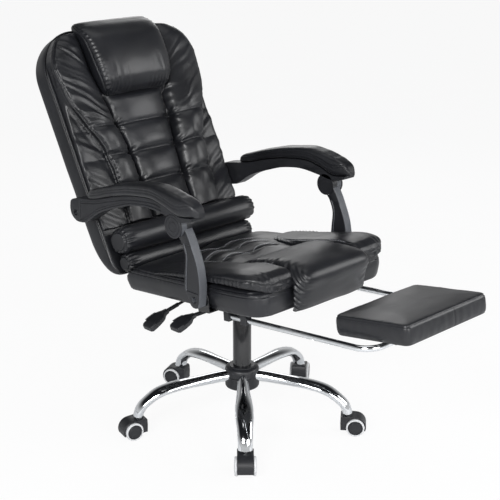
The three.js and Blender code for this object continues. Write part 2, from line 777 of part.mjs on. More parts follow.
levers.forEach(({ name, back, rootHeight, neckHeight, tipHeight }) => {
  const root = new THREE.Vector3(-leverPivotX, back, rootHeight);
  const neck = new THREE.Vector3(-leverNeckReach, back, neckHeight);
  const tip = new THREE.Vector3(-leverTipReach, back, tipHeight);
  const rodEnd = neck.clone().lerp(tip, 0.45);
  const rodLine = [root, neck, rodEnd];
  const rodRadii = rodLine.map(() => leverRodRadius);
  const rod = join(
    loft(ringsAlong(rodLine, rodRadii, rodRadii, 1, 12)),
    rodY(leverPivotRadius, back - leverPivotHalfLength, back + leverPivotHalfLength, -leverPivotX, rootHeight),
    rodY(
      leverPivotRadius / 2,
      back - leverPivotHalfLength - steelThickness,
      back + leverPivotHalfLength + steelThickness,
      -leverPivotX,
      rootHeight,
      10,
    ),
  );
  addPiece(seatFrame, `${name}_rod`, intoSeat(rod), blackSteel);
  const boreRadii = rodLine.map(() => leverRodRadius + gap);
  const boreEnd = rodEnd.clone().lerp(tip, 0.02);
  const bore = loft(ringsAlong([root, neck, boreEnd], boreRadii, boreRadii, 1, 12));
  const paddleStart = neck.clone().lerp(root, leverGrip / leverNeckReach);
  const paddleLine = [
    paddleStart,
    neck.clone().lerp(tip, 0.1),
    neck.clone().lerp(tip, 0.3),
    neck.clone().lerp(tip, 0.75),
    neck.clone().lerp(tip, 0.94),
    tip,
  ];
  const half = leverPaddleThickness / 2;
  const halfWidth = leverPaddleWidth / 2;
  const widths = [half, half, halfWidth, halfWidth, halfWidth * 0.84, halfWidth / 2];
  const depths = [half, half, half, half, half * 0.85, half / 2];
  const paddle = cut(loft(ringsAlong(paddleLine, widths, depths, 0.7, 12)), bore);
  addPiece(seatFrame, `${name}_handle`, intoSeat(paddle), plastic);
});

// Footrest guides: under the board, each with two blocks bored for its rail
sides.forEach(({ side, sign }) => {
  const rail = sign * railHalfSpacing;
  const inner = rail - guideHalfWidth;
  const outer = rail + guideHalfWidth;
  const guideRear = guideFront - guideLength;
  const blockFoot = -railDrop - guideHalfWidth;
  const guide = join(
    boxBetween(inner, outer, -guideFront, -guideRear, plateFoot, boardUnderside),
    boxBetween(inner, outer, -guideFront, -guideFront + guideTab * 2, blockFoot, plateFoot + gap),
    boxBetween(inner, outer, -guideRear - guideTab * 2, -guideRear, blockFoot, plateFoot + gap),
  );
  const bore = rodY(railRadius + gap, -guideFront - overrun, -guideRear + overrun, rail, -railDrop, 20);
  addPiece(seatFrame, `footrest_guide_${side}`, cut(guide, bore), plastic);
});

// Footrest frame: one chrome tube bent into a long U
function footrestTube() {
  const straight = railHalfSpacing - railBendRadius;
  const bend = (sign, angle) => new THREE.Vector3(
    sign * (straight + railBendRadius * Math.sin(angle)),
    -railCross + railBendRadius * (1 - Math.cos(angle)),
    -railDrop,
  );
  const angles = [1, 0.8, 0.6, 0.4, 0.2, 0].map((share) => (share * Math.PI) / 2);
  const line = [
    new THREE.Vector3(-railHalfSpacing, -railRearEnd, -railDrop),
    ...angles.map((angle) => bend(-1, angle)),
    ...[...angles].reverse().map((angle) => bend(1, angle)),
    new THREE.Vector3(railHalfSpacing, -railRearEnd, -railDrop),
  ];
  const up = new THREE.Vector3(0, 0, 1);
  const rings = line.map((point, place) => {
    const before = line[Math.max(place - 1, 0)];
    const after = line[Math.min(place + 1, line.length - 1)];
    const across = after.clone().sub(before).normalize().cross(up);
    return circlePoints(railRadius, 0, 0, 16).map(([a, b]) =>
      point.clone().addScaledVector(across, a).addScaledVector(up, b));
  });
  return loft(rings);
}
addPiece(seatFrame, 'footrest_frame', footrestTube(), chrome);

// Footrest pad: drawn-in cushion on a board, held by two saddles on the cross tube
const footBoardShape = (inset) => roundedRectangle(
  -footHalfWidth + inset,
  footHalfWidth - inset,
  -footFront + inset,
  footRear - inset,
  footCorner,
);
addPiece(
  footFrame,
  'footrest_board',
  flatPlate(footBoardShape(footBoardInset + gap), footLift, footLift + boardThickness),
  plywood,
);

function footrestCushion() {
  const layerShares = [
    { rise: 0, inset: 0.25 }, { rise: 0.06, inset: 0.05 }, { rise: 0.5, inset: -0.12 }, { rise: 0.92, inset: 0.05 },
    { rise: 1, inset: 0.9 }, { rise: 1.07, inset: 3.6 },
  ];
  const rings = layerShares.map(({ rise, inset }) => {
    const shape = roundedRectangle(
      -footHalfWidth + inset * footCorner,
      footHalfWidth - inset * footCorner,
      -footFront + inset * footCorner,
      footRear - inset * footCorner,
      footCorner,
    );
    const outline = shape.getPoints(3).slice(0, -1);
    return outline.map((point) => new THREE.Vector3(point.x, point.y, footLift + rise * footThickness));
  });
  const pocket = flatPlate(footBoardShape(footBoardInset), footLift - overrun, footLift + boardThickness + gap);
  return cut(loft(rings), pocket);
}
addPiece(footFrame, 'footrest_cushion', footrestCushion(), leather);

sides.forEach(({ side, sign }) => {
  const middle = sign * clampHalfSpacing;
  const left = middle - clampWidth / 2;
  const right = middle + clampWidth / 2;
  const boreRadius = railRadius + gap;
  const saddleTop = footLift - gap;
  const saddle = join(
    rodX(boreRadius + clampWall, left, right, 0, 0, 20),
    boxBetween(left, right, -clampFoot, clampFoot, saddleTop - clampWall, saddleTop),
    boxBetween(left, right, -railRadius, railRadius, 0, saddleTop),
  );
  const bore = rodX(boreRadius, left - overrun, right + overrun, 0, 0, 20);
  const above = boxBetween(left - overrun, right + overrun, -clampFoot, clampFoot, saddleTop, saddleTop + overrun);
  addPiece(footFrame, `footrest_clamp_${side}`, cut(saddle, bore, above), blackSteel);
});

// Hinge bars: under the board, rising behind it to the recline pin
sides.forEach(({ side, sign }) => {
  const barFoot = boardUnderside - hingeBarDepth;
  const rise = Math.atan2(hingeRise - boardUnderside, hingeBack - hingeBarRear);
  const eye = Array.from({ length: 11 }, (_, step) => {
    const angle = THREE.MathUtils.lerp(rise - Math.PI / 2, rise + Math.PI / 2, step / 10);
    return [hingeBack + hingeEyeRadius * Math.cos(angle), hingeRise + hingeEyeRadius * Math.sin(angle)];
  });
  const outline = [
    [hingeBarFront, boardUnderside],
    [hingeBarFront, barFoot],
    [hingeBarRear, barFoot],
    ...eye,
    [hingeBarRear - hingeBarDepth, boardUnderside],
  ];
  const x0 = sign * hingeBarX - hingeBarThickness / 2;
  const x1 = sign * hingeBarX + hingeBarThickness / 2;
  const bore = rodX(hingePinRadius + gap, x0 - overrun, x1 + overrun, hingeBack, hingeRise);
  addPiece(seatFrame, `seat_hinge_bar_${side}`, cut(sidePlate(outline, x0, x1), bore), blackSteel);
});

// Recline pin and the bracket that carries the back on it
const pinReach = hingeBarX + hingeBarThickness + backEarThickness * 2;
addPiece(backFrame, 'recline_pin', rodX(hingePinRadius, -pinReach, pinReach, 0, 0), zincSteel);

function backBracket() {
  const plateTop = shellAboveHinge + hingeNotchTop - gap;
  const plateFootRise = plateTop - steelThickness;
  const reach = hingeEyeRadius;
  const plate = boxBetween(-backBracketHalfWidth, backBracketHalfWidth, -reach, reach, plateFootRise, plateTop);
  const eye = Array.from({ length: 11 }, (_, step) => {
    const angle = THREE.MathUtils.lerp(Math.PI, Math.PI * 2, step / 10);
    return [reach * Math.cos(angle), reach * Math.sin(angle)];
  });
  const earOutline = [...eye, [reach, plateTop - gap], [-reach, plateTop - gap]];
  const earInner = hingeBarX + hingeBarThickness / 2 + gap * 2;
  const ears = sides.map(({ sign }) => sidePlate(earOutline, sign * earInner, sign * (earInner + backEarThickness)));
  const bore = rodX(hingePinRadius + gap, -backBracketHalfWidth, backBracketHalfWidth, 0, 0);
  return cut(join(plate, ...ears), bore);
}
addPiece(backFrame, 'back_bracket', backBracket(), blackSteel);

// Back shell: padded slab with rounded top corners, drawn up and forward from its lower rear edge
const frontFacing = new THREE.Matrix4().makeBasis(
  new THREE.Vector3(1, 0, 0),
  new THREE.Vector3(0, 0, 1),
  new THREE.Vector3(0, -1, 0),
);
const postTop = { y: postLean, z: postRise };
const seatTurn = (y, z) => ({
  y: y * Math.cos(radians(seatTilt)) + z * Math.sin(radians(seatTilt)),
  z: z * Math.cos(radians(seatTilt)) - y * Math.sin(radians(seatTilt)),
});
const hingeFromPost = seatTurn(hingeBack + armPivotForward, hingeRise - armPivotRise);
const rearPivot = { y: postTop.y + hingeFromPost.y, z: postTop.z + hingeFromPost.z };
const shellPivot = {
  y: -shellBehindHinge + postLean * Math.cos(radians(backTilt)) - postRise * Math.sin(radians(backTilt)),
  z: -shellAboveHinge + postRise * Math.cos(radians(backTilt)) + postLean * Math.sin(radians(backTilt)),
};

function backShell() {
  const outline = new THREE.Shape();
  outline.moveTo(-backHalfWidth + backFootCorner, -backFoot);
  outline.lineTo(backHalfWidth - backFootCorner, -backFoot);
  outline.absarc(backHalfWidth - backFootCorner, -backFoot + backFootCorner, backFootCorner, -Math.PI / 2, 0);
  outline.absarc(backHalfWidth - backTopCorner, backTop - backTopCorner, backTopCorner, 0, Math.PI / 2);
  outline.absarc(-backHalfWidth + backTopCorner, backTop - backTopCorner, backTopCorner, Math.PI / 2, Math.PI);
  outline.absarc(-backHalfWidth + backFootCorner, -backFoot + backFootCorner, backFootCorner, Math.PI, Math.PI * 1.5);
  const roll = backThickness * 0.12;
  const slab = new THREE.ExtrudeGeometry(outline, {
    depth: backThickness - roll * 2,
    bevelThickness: roll,
    bevelSize: roll,
    bevelOffset: -roll,
    bevelSegments: 1,
    curveSegments: 7,
  }).translate(0, 0, roll).applyMatrix4(frontFacing);
  const footCurve = smoothLine([
    [overrun, backFootCurve + overrun * 2],
    [0, backFootCurve],
    [-backThickness * 0.27, backFootCurve * 0.32],
    [-backThickness * 0.6, -backFoot * 0.62],
    [-backThickness, -backFoot],
    [-backThickness - overrun, -backFoot - overrun],
  ], 12);
  const below = -backFoot - backFootCurve;
  const footCutter = sidePlate(
    [...footCurve, [-backThickness - overrun, below], [overrun, below]],
    -backHalfWidth - overrun,
    backHalfWidth + overrun,
  );
  const notch = boxBetween(
    -hingeNotchHalfWidth,
    hingeNotchHalfWidth,
    -backThickness - overrun,
    overrun,
    below,
    hingeNotchTop,
  );
  const boltBores = sides.map(({ sign }) => rodX(
    boltRadius + gap,
    sign * (backHalfWidth - boltSinkDepth * 2 - gap),
    sign * (backHalfWidth + overrun),
    shellPivot.y,
    shellPivot.z,
  ));
  return cut(slab, footCutter, notch, ...boltBores);
}
addPiece(shellFrame, 'back_shell', backShell(), leather);

// Back cushion: sewn into panels by cross seams, with two lengthwise channels
const cushionBase = backThickness + gap;
const seamShares = [0.305, 0.436, 0.564, 0.68];
const cushionWidthShares = [[0.146, 0.66], [0.308, 0.668], [0.448, 0.7], [0.568, 0.824], [0.698, 0.956], [0.83, 1]];
const cushionDepthShares = [
  [0.146, 0.8], [0.308, 0.9], [0.448, 0.98], [0.568, 1.02], [0.7, 0.96], [0.9, 0.92], [1, 0.7],
];
const channelShares = [[0.311, 0.308], [0.442, 0.336], [0.576, 0.392], [0.66, 0.41], [0.687, 0.56]];
const headBackShares = [[0.68, 1], [0.92, 0.96], [0.97, 0.88], [1, 0.78]];

// Half width of the back at a height, following its rounded top corners
function backWidthAt(rise) {
  const over = Math.max(0, rise - (backTop - backTopCorner));
  return backHalfWidth - backTopCorner + Math.sqrt(Math.max(0, backTopCorner ** 2 - over ** 2));
}

function cushionRows() {
  const edges = [cushionFoot / backTop, ...seamShares];
  const panels = edges.slice(0, -1).flatMap((start, panel) => [0, 0.16, 0.5, 0.84].map((along) => ({
    rise: THREE.MathUtils.lerp(start, edges[panel + 1], along),
    puff: Math.min(1, Math.min(along, 1 - along) * 5.5),
  })));
  const head = [0.687, 0.74, 0.8, 0.86, 0.91, 0.95, 0.98].map((rise) => ({ rise, puff: 1 }));
  return [...panels, ...head];
}

function backCushion() {
  const rows = cushionRows();
  const rings = rows.map(({ rise, puff }, place) => {
    const height = rise * backTop;
    const drawnIn = place === 0 ? 0.35 : 1;
    const isHead = rise > seamShares[3];
    const limit = backWidthAt(height);
    const border = Math.min(lookUp(cushionWidthShares, rise) * backHalfWidth, limit);
    const base = Math.min(backHalfWidth * 0.972, limit - gap);
    const channel = Math.min(lookUp(channelShares, rise) * backHalfWidth, border * 0.8);
    const headDepthHere = cushionHeadDepth * lookUp(headBackShares, rise);
    const crown = isHead ? headDepthHere : cushionCrownDepth - (1 - puff) * cushionSeamDrop;
    const groove = isHead ? headDepthHere : cushionChannelDepth;
    const edge = cushionBorderDepth * lookUp(cushionDepthShares, rise) - (1 - puff) * cushionSeamDrop;
    const half = [
      [0, crown],
      [channel * 0.5, THREE.MathUtils.lerp(crown, groove, 0.1)],
      [channel * 0.86, THREE.MathUtils.lerp(crown, groove, 0.55)],
      [channel, groove],
      [THREE.MathUtils.lerp(channel, border, 0.16), THREE.MathUtils.lerp(groove, edge, 0.62)],
      [THREE.MathUtils.lerp(channel, border, 0.5), edge * 1.02],
      [border - (border - channel) * 0.12, edge],
      [border, THREE.MathUtils.lerp(cushionBase, edge, 0.84)],
      [Math.max(base, (border + base) / 2), THREE.MathUtils.lerp(cushionBase, edge, 0.4)],
      [base, cushionBase],
    ];
    const mirrored = half.slice(1).reverse().map(([x, depth]) => [-x, depth]);
    return [...mirrored, ...half].map(([x, depth]) => new THREE.Vector3(
      x,
      -THREE.MathUtils.lerp(cushionBase, depth, drawnIn),
      height,
    ));
  });
  return loft(rings);
}
addPiece(shellFrame, 'back_cushion', backCushion(), leather);

// Headrest pillow, strapped on over the head end of the cushion
function headrestPillow() {
  const rowShares = [
    { up: 0, width: 0.78, depth: 0.2 },
    { up: 0.05, width: 0.88, depth: 0.55 },
    { up: 0.17, width: 0.95, depth: 0.88 },
    { up: 0.42, width: 1, depth: 1 },
    { up: 0.68, width: 1.02, depth: 0.93 },
    { up: 0.86, width: 1.04, depth: 0.7 },
    { up: 0.96, width: 1, depth: 0.4 },
    { up: 1, width: 0.88, depth: 0.12 },
  ];
  const rings = rowShares.map(({ up, width, depth }) => {
    const height = THREE.MathUtils.lerp(headFootShare, headTopShare, up) * backTop;
    const rear = cushionHeadDepth * lookUp(headBackShares, height / backTop) + gap * 5;
    const ring = domeRing(width * headHalfWidth, depth * headDepth, 0.45, 21);
    return ring.map(([x, forward]) => new THREE.Vector3(x, -rear - forward, height));
  });
  return loft(rings);
}
addPiece(shellFrame, 'headrest_pillow', headrestPillow(), leather);

// Lumbar rolls: two puckered bolsters across the foot of the back
function lumbarRoll(halfLength, forward, rise, halfDepth, halfHeight) {
  const endShares = [
    { reach: 1, size: 0.5 }, { reach: 0.985, size: 0.78 }, { reach: 0.95, size: 0.92 }, { reach: 0.86, size: 0.99 },
    { reach: 0.5, size: 1 },
  ];
  const places = [
    ...endShares.map(({ reach, size }) => ({ reach: -reach, size })),
    { reach: 0, size: 1 },
    ...[...endShares].reverse(),
  ];
  const rings = places.map(({ reach, size }) => pillowRing(size * halfDepth, size * halfHeight, 0.85, 18).map(
    ([a, b]) => new THREE.Vector3(reach * halfLength, -forward - a, rise + b),
  ));
  return loft(rings);
}
const upperRoll = lumbarRoll(
  upperRollHalfLength,
  upperRollForward,
  upperRollRise,
  upperRollHalfDepth,
  upperRollHalfHeight,
);
const lowerRoll = lumbarRoll(
  lowerRollHalfLength,
  lowerRollForward,
  -lowerRollDrop,
  lowerRollHalfDepth,
  lowerRollHalfHeight,
);
addPiece(shellFrame, 'lumbar_roll_upper', upperRoll, leather);
addPiece(shellFrame, 'lumbar_roll_lower', lowerRoll, leather);

// Arms: drawn level from the pivot at each post's foot
const armFrame = new THREE.Group();
armFrame.position.set(0, -armPivotForward, armPivotRise);
armFrame.rotation.x = radians(seatTilt);
seatFrame.add(armFrame);

const postFrontShares = [[-0.09, -0.11], [-0.115, 0.19], [-0.085, 0.42], [0.034, 0.73], [0.146, 0.94], [0.24, 1.06]];
const postRearShares = [[0.46, 0.9], [0.27, 0.81], [0.18, 0.57], [0.2, 0.33], [0.208, 0.13], [0.107, -0.04]];
const railTopShares = [
  [-0.05, 1.2], [0.185, 1.163], [0.455, 1.247], [0.733, 1.303],
  [1.2, 1.258], [1.62, 1.163], [2.09, 1.028], [2.5, 0.96],
];
const railEndShares = [[2.666, 0.9], [2.68, 0.8], [2.62, 0.66], [2.5, 0.6], [2.34, 0.61]];
const railFootShares = [
  [1.983, 0.837], [1.59, 0.994], [1.208, 1.112], [0.843, 1.157], [0.46, 1.124], [0.2, 1.09], [0, 1.13],
];

// Clearance for a bolt and its sunk head in an arm piece
function boltHole(sign, inner, outer, y, z) {
  return [
    rodX(boltRadius + gap, sign * (inner - overrun), sign * (outer - boltSinkDepth), y, z),
    rodX(boltHeadRadius + gap, sign * (outer - boltSinkDepth), sign * (outer + overrun), y, z),
  ];
}

// Bolt along X with a sunk head and a collar that spaces the arm piece from what it is bolted to
function armBolt(sign, tip, collarInner, collarOuter, outer, y, z) {
  const seat = outer - boltSinkDepth + gap;
  return join(
    rodX(boltRadius, sign * tip, sign * seat, y, z),
    rodX(boltHeadRadius, sign * seat, sign * (seat + boltHeadThickness), y, z),
    rodX(boltHeadRadius, sign * (collarInner + gap), sign * (collarOuter - gap), y, z),
  );
}

function armPost(sign) {
  const front = smoothLine(scaled(postFrontShares, postRise), 12);
  const rear = smoothLine(scaled(postRearShares, postRise), 12);
  const blade = sidePlate([...front, ...rear], sign * postInner, sign * postOuter, armEdgeBreak);
  const clear = rodX(
    barrelRadius + gap * 2,
    sign * (postInner - overrun),
    sign * knuckleInner,
    postTop.y,
    postTop.z,
    24,
  );
  const knuckle = rodX(barrelRadius, sign * knuckleInner, sign * knuckleOuter, postTop.y, postTop.z, 24);
  const pivotBore = rodX(
    boltRadius + gap,
    sign * (postInner - overrun),
    sign * (armOuter + overrun),
    postTop.y,
    postTop.z,
  );
  return cut(join(cut(blade, clear), knuckle), pivotBore, ...boltHole(sign, postInner, postOuter, 0, 0));
}

function armRail(sign) {
  const top = smoothLine(scaled(railTopShares, postRise), 18);
  const end = scaled(railEndShares, postRise);
  const foot = smoothLine(scaled(railFootShares, postRise), 14);
  const blade = sidePlate([...top, ...end, ...foot], sign * armInner, sign * armOuter, armEdgeBreak);
  const lug = rodX(barrelRadius, sign * armInner, sign * (knuckleInner - gap * 2), postTop.y, postTop.z, 24);
  const clear = rodX(
    armCapRadius + gap * 2,
    sign * (knuckleInner - gap * 2),
    sign * (armOuter + overrun),
    postTop.y,
    postTop.z,
    24,
  );
  const pivotBore = rodX(
    boltRadius + gap,
    sign * (armInner - overrun),
    sign * (armOuter + overrun),
    postTop.y,
    postTop.z,
  );
  const holes = boltHole(sign, armInner, armOuter, rearPivot.y, rearPivot.z);
  return cut(join(cut(blade, clear), lug), pivotBore, ...holes);
}

function armPad(sign) {
  const rowShares = [
    { along: 0, inner: 0.28, outer: 0.62, thick: 0.2 }, { along: 0.03, inner: 0.16, outer: 0.8, thick: 0.45 },
    { along: 0.1, inner: 0.06, outer: 0.96, thick: 0.64 }, { along: 0.22, inner: 0, outer: 1, thick: 0.76 },
    { along: 0.34, inner: 0, outer: 1, thick: 0.83 }, { along: 0.46, inner: 0, outer: 1, thick: 0.91 },
    { along: 0.58, inner: 0, outer: 1, thick: 1 }, { along: 0.7, inner: 0, outer: 1, thick: 1.1 },
    { along: 0.8, inner: 0, outer: 0.97, thick: 1.28 }, { along: 0.9, inner: 0.02, outer: 0.88, thick: 1.25 },
    { along: 0.97, inner: 0.1, outer: 0.74, thick: 0.9 }, { along: 1, inner: 0.2, outer: 0.56, thick: 0.45 },
  ];
  const railTop = smoothLine(scaled(railTopShares, postRise), 40);
  const rings = rowShares.map(({ along, inner, outer, thick }) => {
    const y = THREE.MathUtils.lerp(armPadRear, -armPadFront, along);
    const foot = lookUp(railTop, y) + armPadLift;
    const x0 = THREE.MathUtils.lerp(armPadInner, armPadOuter, inner);
    const x1 = THREE.MathUtils.lerp(armPadInner, armPadOuter, outer);
    const ring = pillowRing((x1 - x0) / 2, (thick * armPadThickness) / 2, 0.5, 14);
    return ring.map(([a, b]) => new THREE.Vector3(
      sign * ((x0 + x1) / 2 + a),
      y,
      foot + (thick * armPadThickness) / 2 + b,
    ));
  });
  return loft(rings);
}

function hingeCap(sign) {
  const capInner = sign * (knuckleOuter + gap);
  const capOuter = sign * (knuckleOuter + armCapThickness);
  return join(
    rodX(armCapRadius, capInner, capOuter, postTop.y, postTop.z, 28),
    rodX(boltRadius, sign * armInner, sign * (knuckleOuter + armCapThickness / 2), postTop.y, postTop.z),
  );
}

// Arm brackets: steel angles under the board, up the seat's side to the post's pivot
function armBracket(sign) {
  const outer = armBracketInner + steelThickness;
  const footTop = boardUnderside - armPivotRise;
  const upright = sidePlate([
    [-armBracketHalfWidth, footTop - steelThickness],
    [armBracketHalfWidth, footTop - steelThickness],
    [armBracketHalfWidth, 0],
    [armBracketHalfWidth / 2, armBracketHalfWidth],
    [-armBracketHalfWidth / 2, armBracketHalfWidth],
    [-armBracketHalfWidth, 0],
  ], sign * armBracketInner, sign * outer);
  const foot = boxBetween(
    sign * (armBracketInner - armBracketFoot),
    sign * outer,
    -armBracketHalfWidth,
    armBracketHalfWidth,
    footTop - steelThickness,
    footTop,
  );
  const bore = rodX(boltRadius + gap, sign * (armBracketInner - overrun), sign * (outer + overrun), 0, 0);
  return cut(join(upright, foot), bore).translate(0, -armPivotForward, armPivotRise);
}

sides.forEach(({ side, sign }) => {
  addPiece(armFrame, `arm_rail_${side}`, armRail(sign), plastic);
  addPiece(armFrame, `arm_pad_${side}`, armPad(sign), leather);
  addPiece(armFrame, `arm_post_${side}`, armPost(sign), ribbedPlastic);
  addPiece(armFrame, `hinge_cap_${side}`, hingeCap(sign), plastic);
  const boltTip = armBracketInner + gap;
  const bracketFace = armBracketInner + steelThickness;
  const lowerBolt = armBolt(sign, boltTip, bracketFace, postInner, postOuter, 0, 0);
  addPiece(armFrame, `lower_bolt_${side}`, lowerBolt, zincSteel);
  const shellGrip = backHalfWidth - boltSinkDepth * 2;
  const rearBolt = armBolt(sign, shellGrip, backHalfWidth, armInner, armOuter, rearPivot.y, rearPivot.z);
  addPiece(armFrame, `rear_bolt_${side}`, rearBolt, zincSteel);
  addPiece(seatFrame, `arm_mount_${side}`, armBracket(sign), blackSteel);
});

// Put the middle of the chair's box over the origin and its wheels on the floor
chair.updateMatrixWorld(true);
const bounds = new THREE.Box3().setFromObject(frame, true);
const centre = bounds.getCenter(new THREE.Vector3());
frame.position.set(-centre.x, -centre.y, -bounds.min.z);

export default chair;
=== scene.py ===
import json
import math

import bmesh
import bpy
from mathutils import Matrix, Vector, noise


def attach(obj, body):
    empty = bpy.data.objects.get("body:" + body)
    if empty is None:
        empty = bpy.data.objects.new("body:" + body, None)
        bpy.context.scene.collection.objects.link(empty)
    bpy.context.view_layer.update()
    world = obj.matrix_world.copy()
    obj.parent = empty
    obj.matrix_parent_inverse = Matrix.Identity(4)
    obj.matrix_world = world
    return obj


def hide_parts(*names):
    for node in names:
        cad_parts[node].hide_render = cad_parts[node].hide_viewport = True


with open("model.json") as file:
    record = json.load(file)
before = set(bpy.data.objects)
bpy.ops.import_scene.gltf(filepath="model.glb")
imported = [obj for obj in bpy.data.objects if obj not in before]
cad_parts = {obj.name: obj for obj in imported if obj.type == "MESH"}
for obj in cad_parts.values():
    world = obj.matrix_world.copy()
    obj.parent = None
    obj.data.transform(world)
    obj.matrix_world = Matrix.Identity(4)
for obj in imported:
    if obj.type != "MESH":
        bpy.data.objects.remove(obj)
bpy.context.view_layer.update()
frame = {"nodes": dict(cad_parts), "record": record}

# Places
column = Vector(next(j for j in frame["record"]["behaviour"]["joints"] if j["name"] == "seat_swivel")["pos_m"])
MM = 0.001
SIDES = [("left", 1), ("right", -1)]
SEAT_HEIGHT = 415
SEAT_TILT = 5.5
BACK_TILT = 28
HINGE_BACK = 267
HINGE_RISE = 24.7
SHELL_BEHIND_HINGE = 19
SHELL_ABOVE_HINGE = 18
RAIL_DROP = 31
RAIL_CROSS = 599
FOOT_TILT = 3.5
ARM_FORWARD = 126.8
ARM_RISE = 34


def moved(x, y, z):
    """Shift by millimetres."""
    return Matrix.Translation(Vector((x, y, z)))


def leaning(degrees):
    """Turn about X that leans backwards."""
    return Matrix.Rotation(-math.radians(degrees), 4, "X")


FLOOR_PLACE = moved(column.x, column.y, 0) @ Matrix.Scale(MM, 4)
SEAT_PLACE = FLOOR_PLACE @ moved(0, 0, SEAT_HEIGHT) @ leaning(SEAT_TILT)
HINGE_PLACE = SEAT_PLACE @ moved(0, HINGE_BACK, HINGE_RISE) @ leaning(BACK_TILT - SEAT_TILT)
BACK_PLACE = HINGE_PLACE @ moved(0, SHELL_BEHIND_HINGE, SHELL_ABOVE_HINGE)
FOOT_PLACE = SEAT_PLACE @ moved(0, -RAIL_CROSS, -RAIL_DROP) @ leaning(FOOT_TILT)
ARM_PLACE = SEAT_PLACE @ moved(0, -ARM_FORWARD, ARM_RISE) @ leaning(-SEAT_TILT)


# Small maths
def mix(a, b, share):
    """Value between a and b."""
    return a + (b - a) * share


def clamp(value, low=0.0, high=1.0):
    return max(low, min(high, value))


def bump(distance, reach):
    """1 at no distance, falling smoothly to nothing a few reaches away."""
    return math.exp(-((distance / reach) ** 2))


def power(value, exponent):
    """Power that keeps the sign."""
    return math.copysign(abs(value) ** exponent, value)


def shares(count):
    """Even shares from 0 to 1, in count steps."""
    return [step / count for step in range(count + 1)]


def slow_ends(count):
    """Shares from 0 to 1 in count steps, closer together at both ends."""
    return [0.5 - 0.5 * math.cos(math.pi * share) for share in shares(count)]


def ease(rows, place):
    """Smooth value at a place in rows of (place, value), without overshoot."""
    if place <= rows[0][0]:
        return rows[0][1]
    if place >= rows[-1][0]:
        return rows[-1][1]
    slopes = [(b[1] - a[1]) / (b[0] - a[0]) for a, b in zip(rows, rows[1:])]
    joint = [slopes[0]]
    for before, after in zip(slopes, slopes[1:]):
        joint.append(0.0 if before * after <= 0 else 2 * before * after / (before + after))
    joint.append(slopes[-1])
    for row in range(len(rows) - 1):
        if place <= rows[row + 1][0]:
            width = rows[row + 1][0] - rows[row][0]
            t = (place - rows[row][0]) / width
            start = (1 + 2 * t) * (1 - t) ** 2 * rows[row][1] + t * (1 - t) ** 2 * width * joint[row]
            return start + t * t * (3 - 2 * t) * rows[row + 1][1] + t * t * (t - 1) * width * joint[row + 1]


def lengths_along(line):
    """Length of a line up to each of its points."""
    lengths = [0.0]
    for a, b in zip(line, line[1:]):
        lengths.append(lengths[-1] + (b - a).length)
    return lengths


def even_points(line, steps):
    """Points at equal steps along a line, from its start to its end."""
    lengths = lengths_along(line)
    points = []
    spot = 0
    for share in shares(steps):
        wanted = lengths[-1] * share
        while spot < len(line) - 2 and lengths[spot + 1] < wanted:
            spot += 1
        span = max(lengths[spot + 1] - lengths[spot], 1e-9)
        points.append(line[spot].lerp(line[spot + 1], clamp((wanted - lengths[spot]) / span)))
    return points


def evenly(loop, count):
    """A closed loop's points moved to equal steps along it, starting where it starts."""
    return even_points([*loop, loop[0]], count)[:-1]


def smooth_line(points, steps):
    """Evenly spaced points on a smooth line through the given points."""
    points = [Vector(p) for p in points]
    ends = [points[0] * 2 - points[1], *points, points[-1] * 2 - points[-2]]
    fine = []
    for a, b, c, d in zip(ends, ends[1:], ends[2:], ends[3:]):
        for t in shares(12)[:-1]:
            spot = 2 * b + (c - a) * t
            spot += (2 * a - 5 * b + 4 * c - d) * t * t
            spot += (3 * b - a - 3 * c + d) * t ** 3
            fine.append(0.5 * spot)
    return even_points([*fine, points[-1]], steps)


def crease(along, place, seed):
    """Irregular small folds, from -1 to 1: along counts folds, place shifts them slowly."""
    return noise.noise(Vector((along, place, seed))) * 1.6


# Materials
def linear(hex_colour):
    """sRGB hex colour as linear red, green, blue and alpha."""
    values = [int(hex_colour[at:at + 2], 16) / 255 for at in (1, 3, 5)]
    return (*[v / 12.92 if v <= 0.04045 else ((v + 0.055) / 1.055) ** 2.4 for v in values], 1.0)


def feed(tree, node, **inputs):
    """Sets a node's inputs to values, or links them from outputs."""
    for name, value in inputs.items():
        socket = node.inputs[name.replace("_", " ")]
        if isinstance(value, bpy.types.NodeSocket):
            tree.links.new(value, socket)
        else:
            socket.default_value = value


def new_finish(name, colour, **values):
    """A material with its plain shader values, and its node tree, its shader and the object's coordinates."""
    finish = bpy.data.materials.new(name)
    finish.use_nodes = True
    tree = finish.node_tree
    shader = tree.nodes["Principled BSDF"]
    feed(tree, shader, Base_Color=linear(colour), **values)
    return finish, tree, shader, add_node(tree, "TexCoord").outputs["Object"]


def add_node(tree, kind, settings=(), stops=(), **inputs):
    """Adds a node with its settings, its colour stops as (place, hex colour) pairs, and its inputs."""
    added = tree.nodes.new("ShaderNode" + kind)
    for name, value in dict(settings).items():
        setattr(added, name, value)
    for number, (spot, colour) in enumerate(stops):
        added.color_ramp.elements[number].position = spot
        added.color_ramp.elements[number].color = linear(colour)
    feed(tree, added, **inputs)
    return added


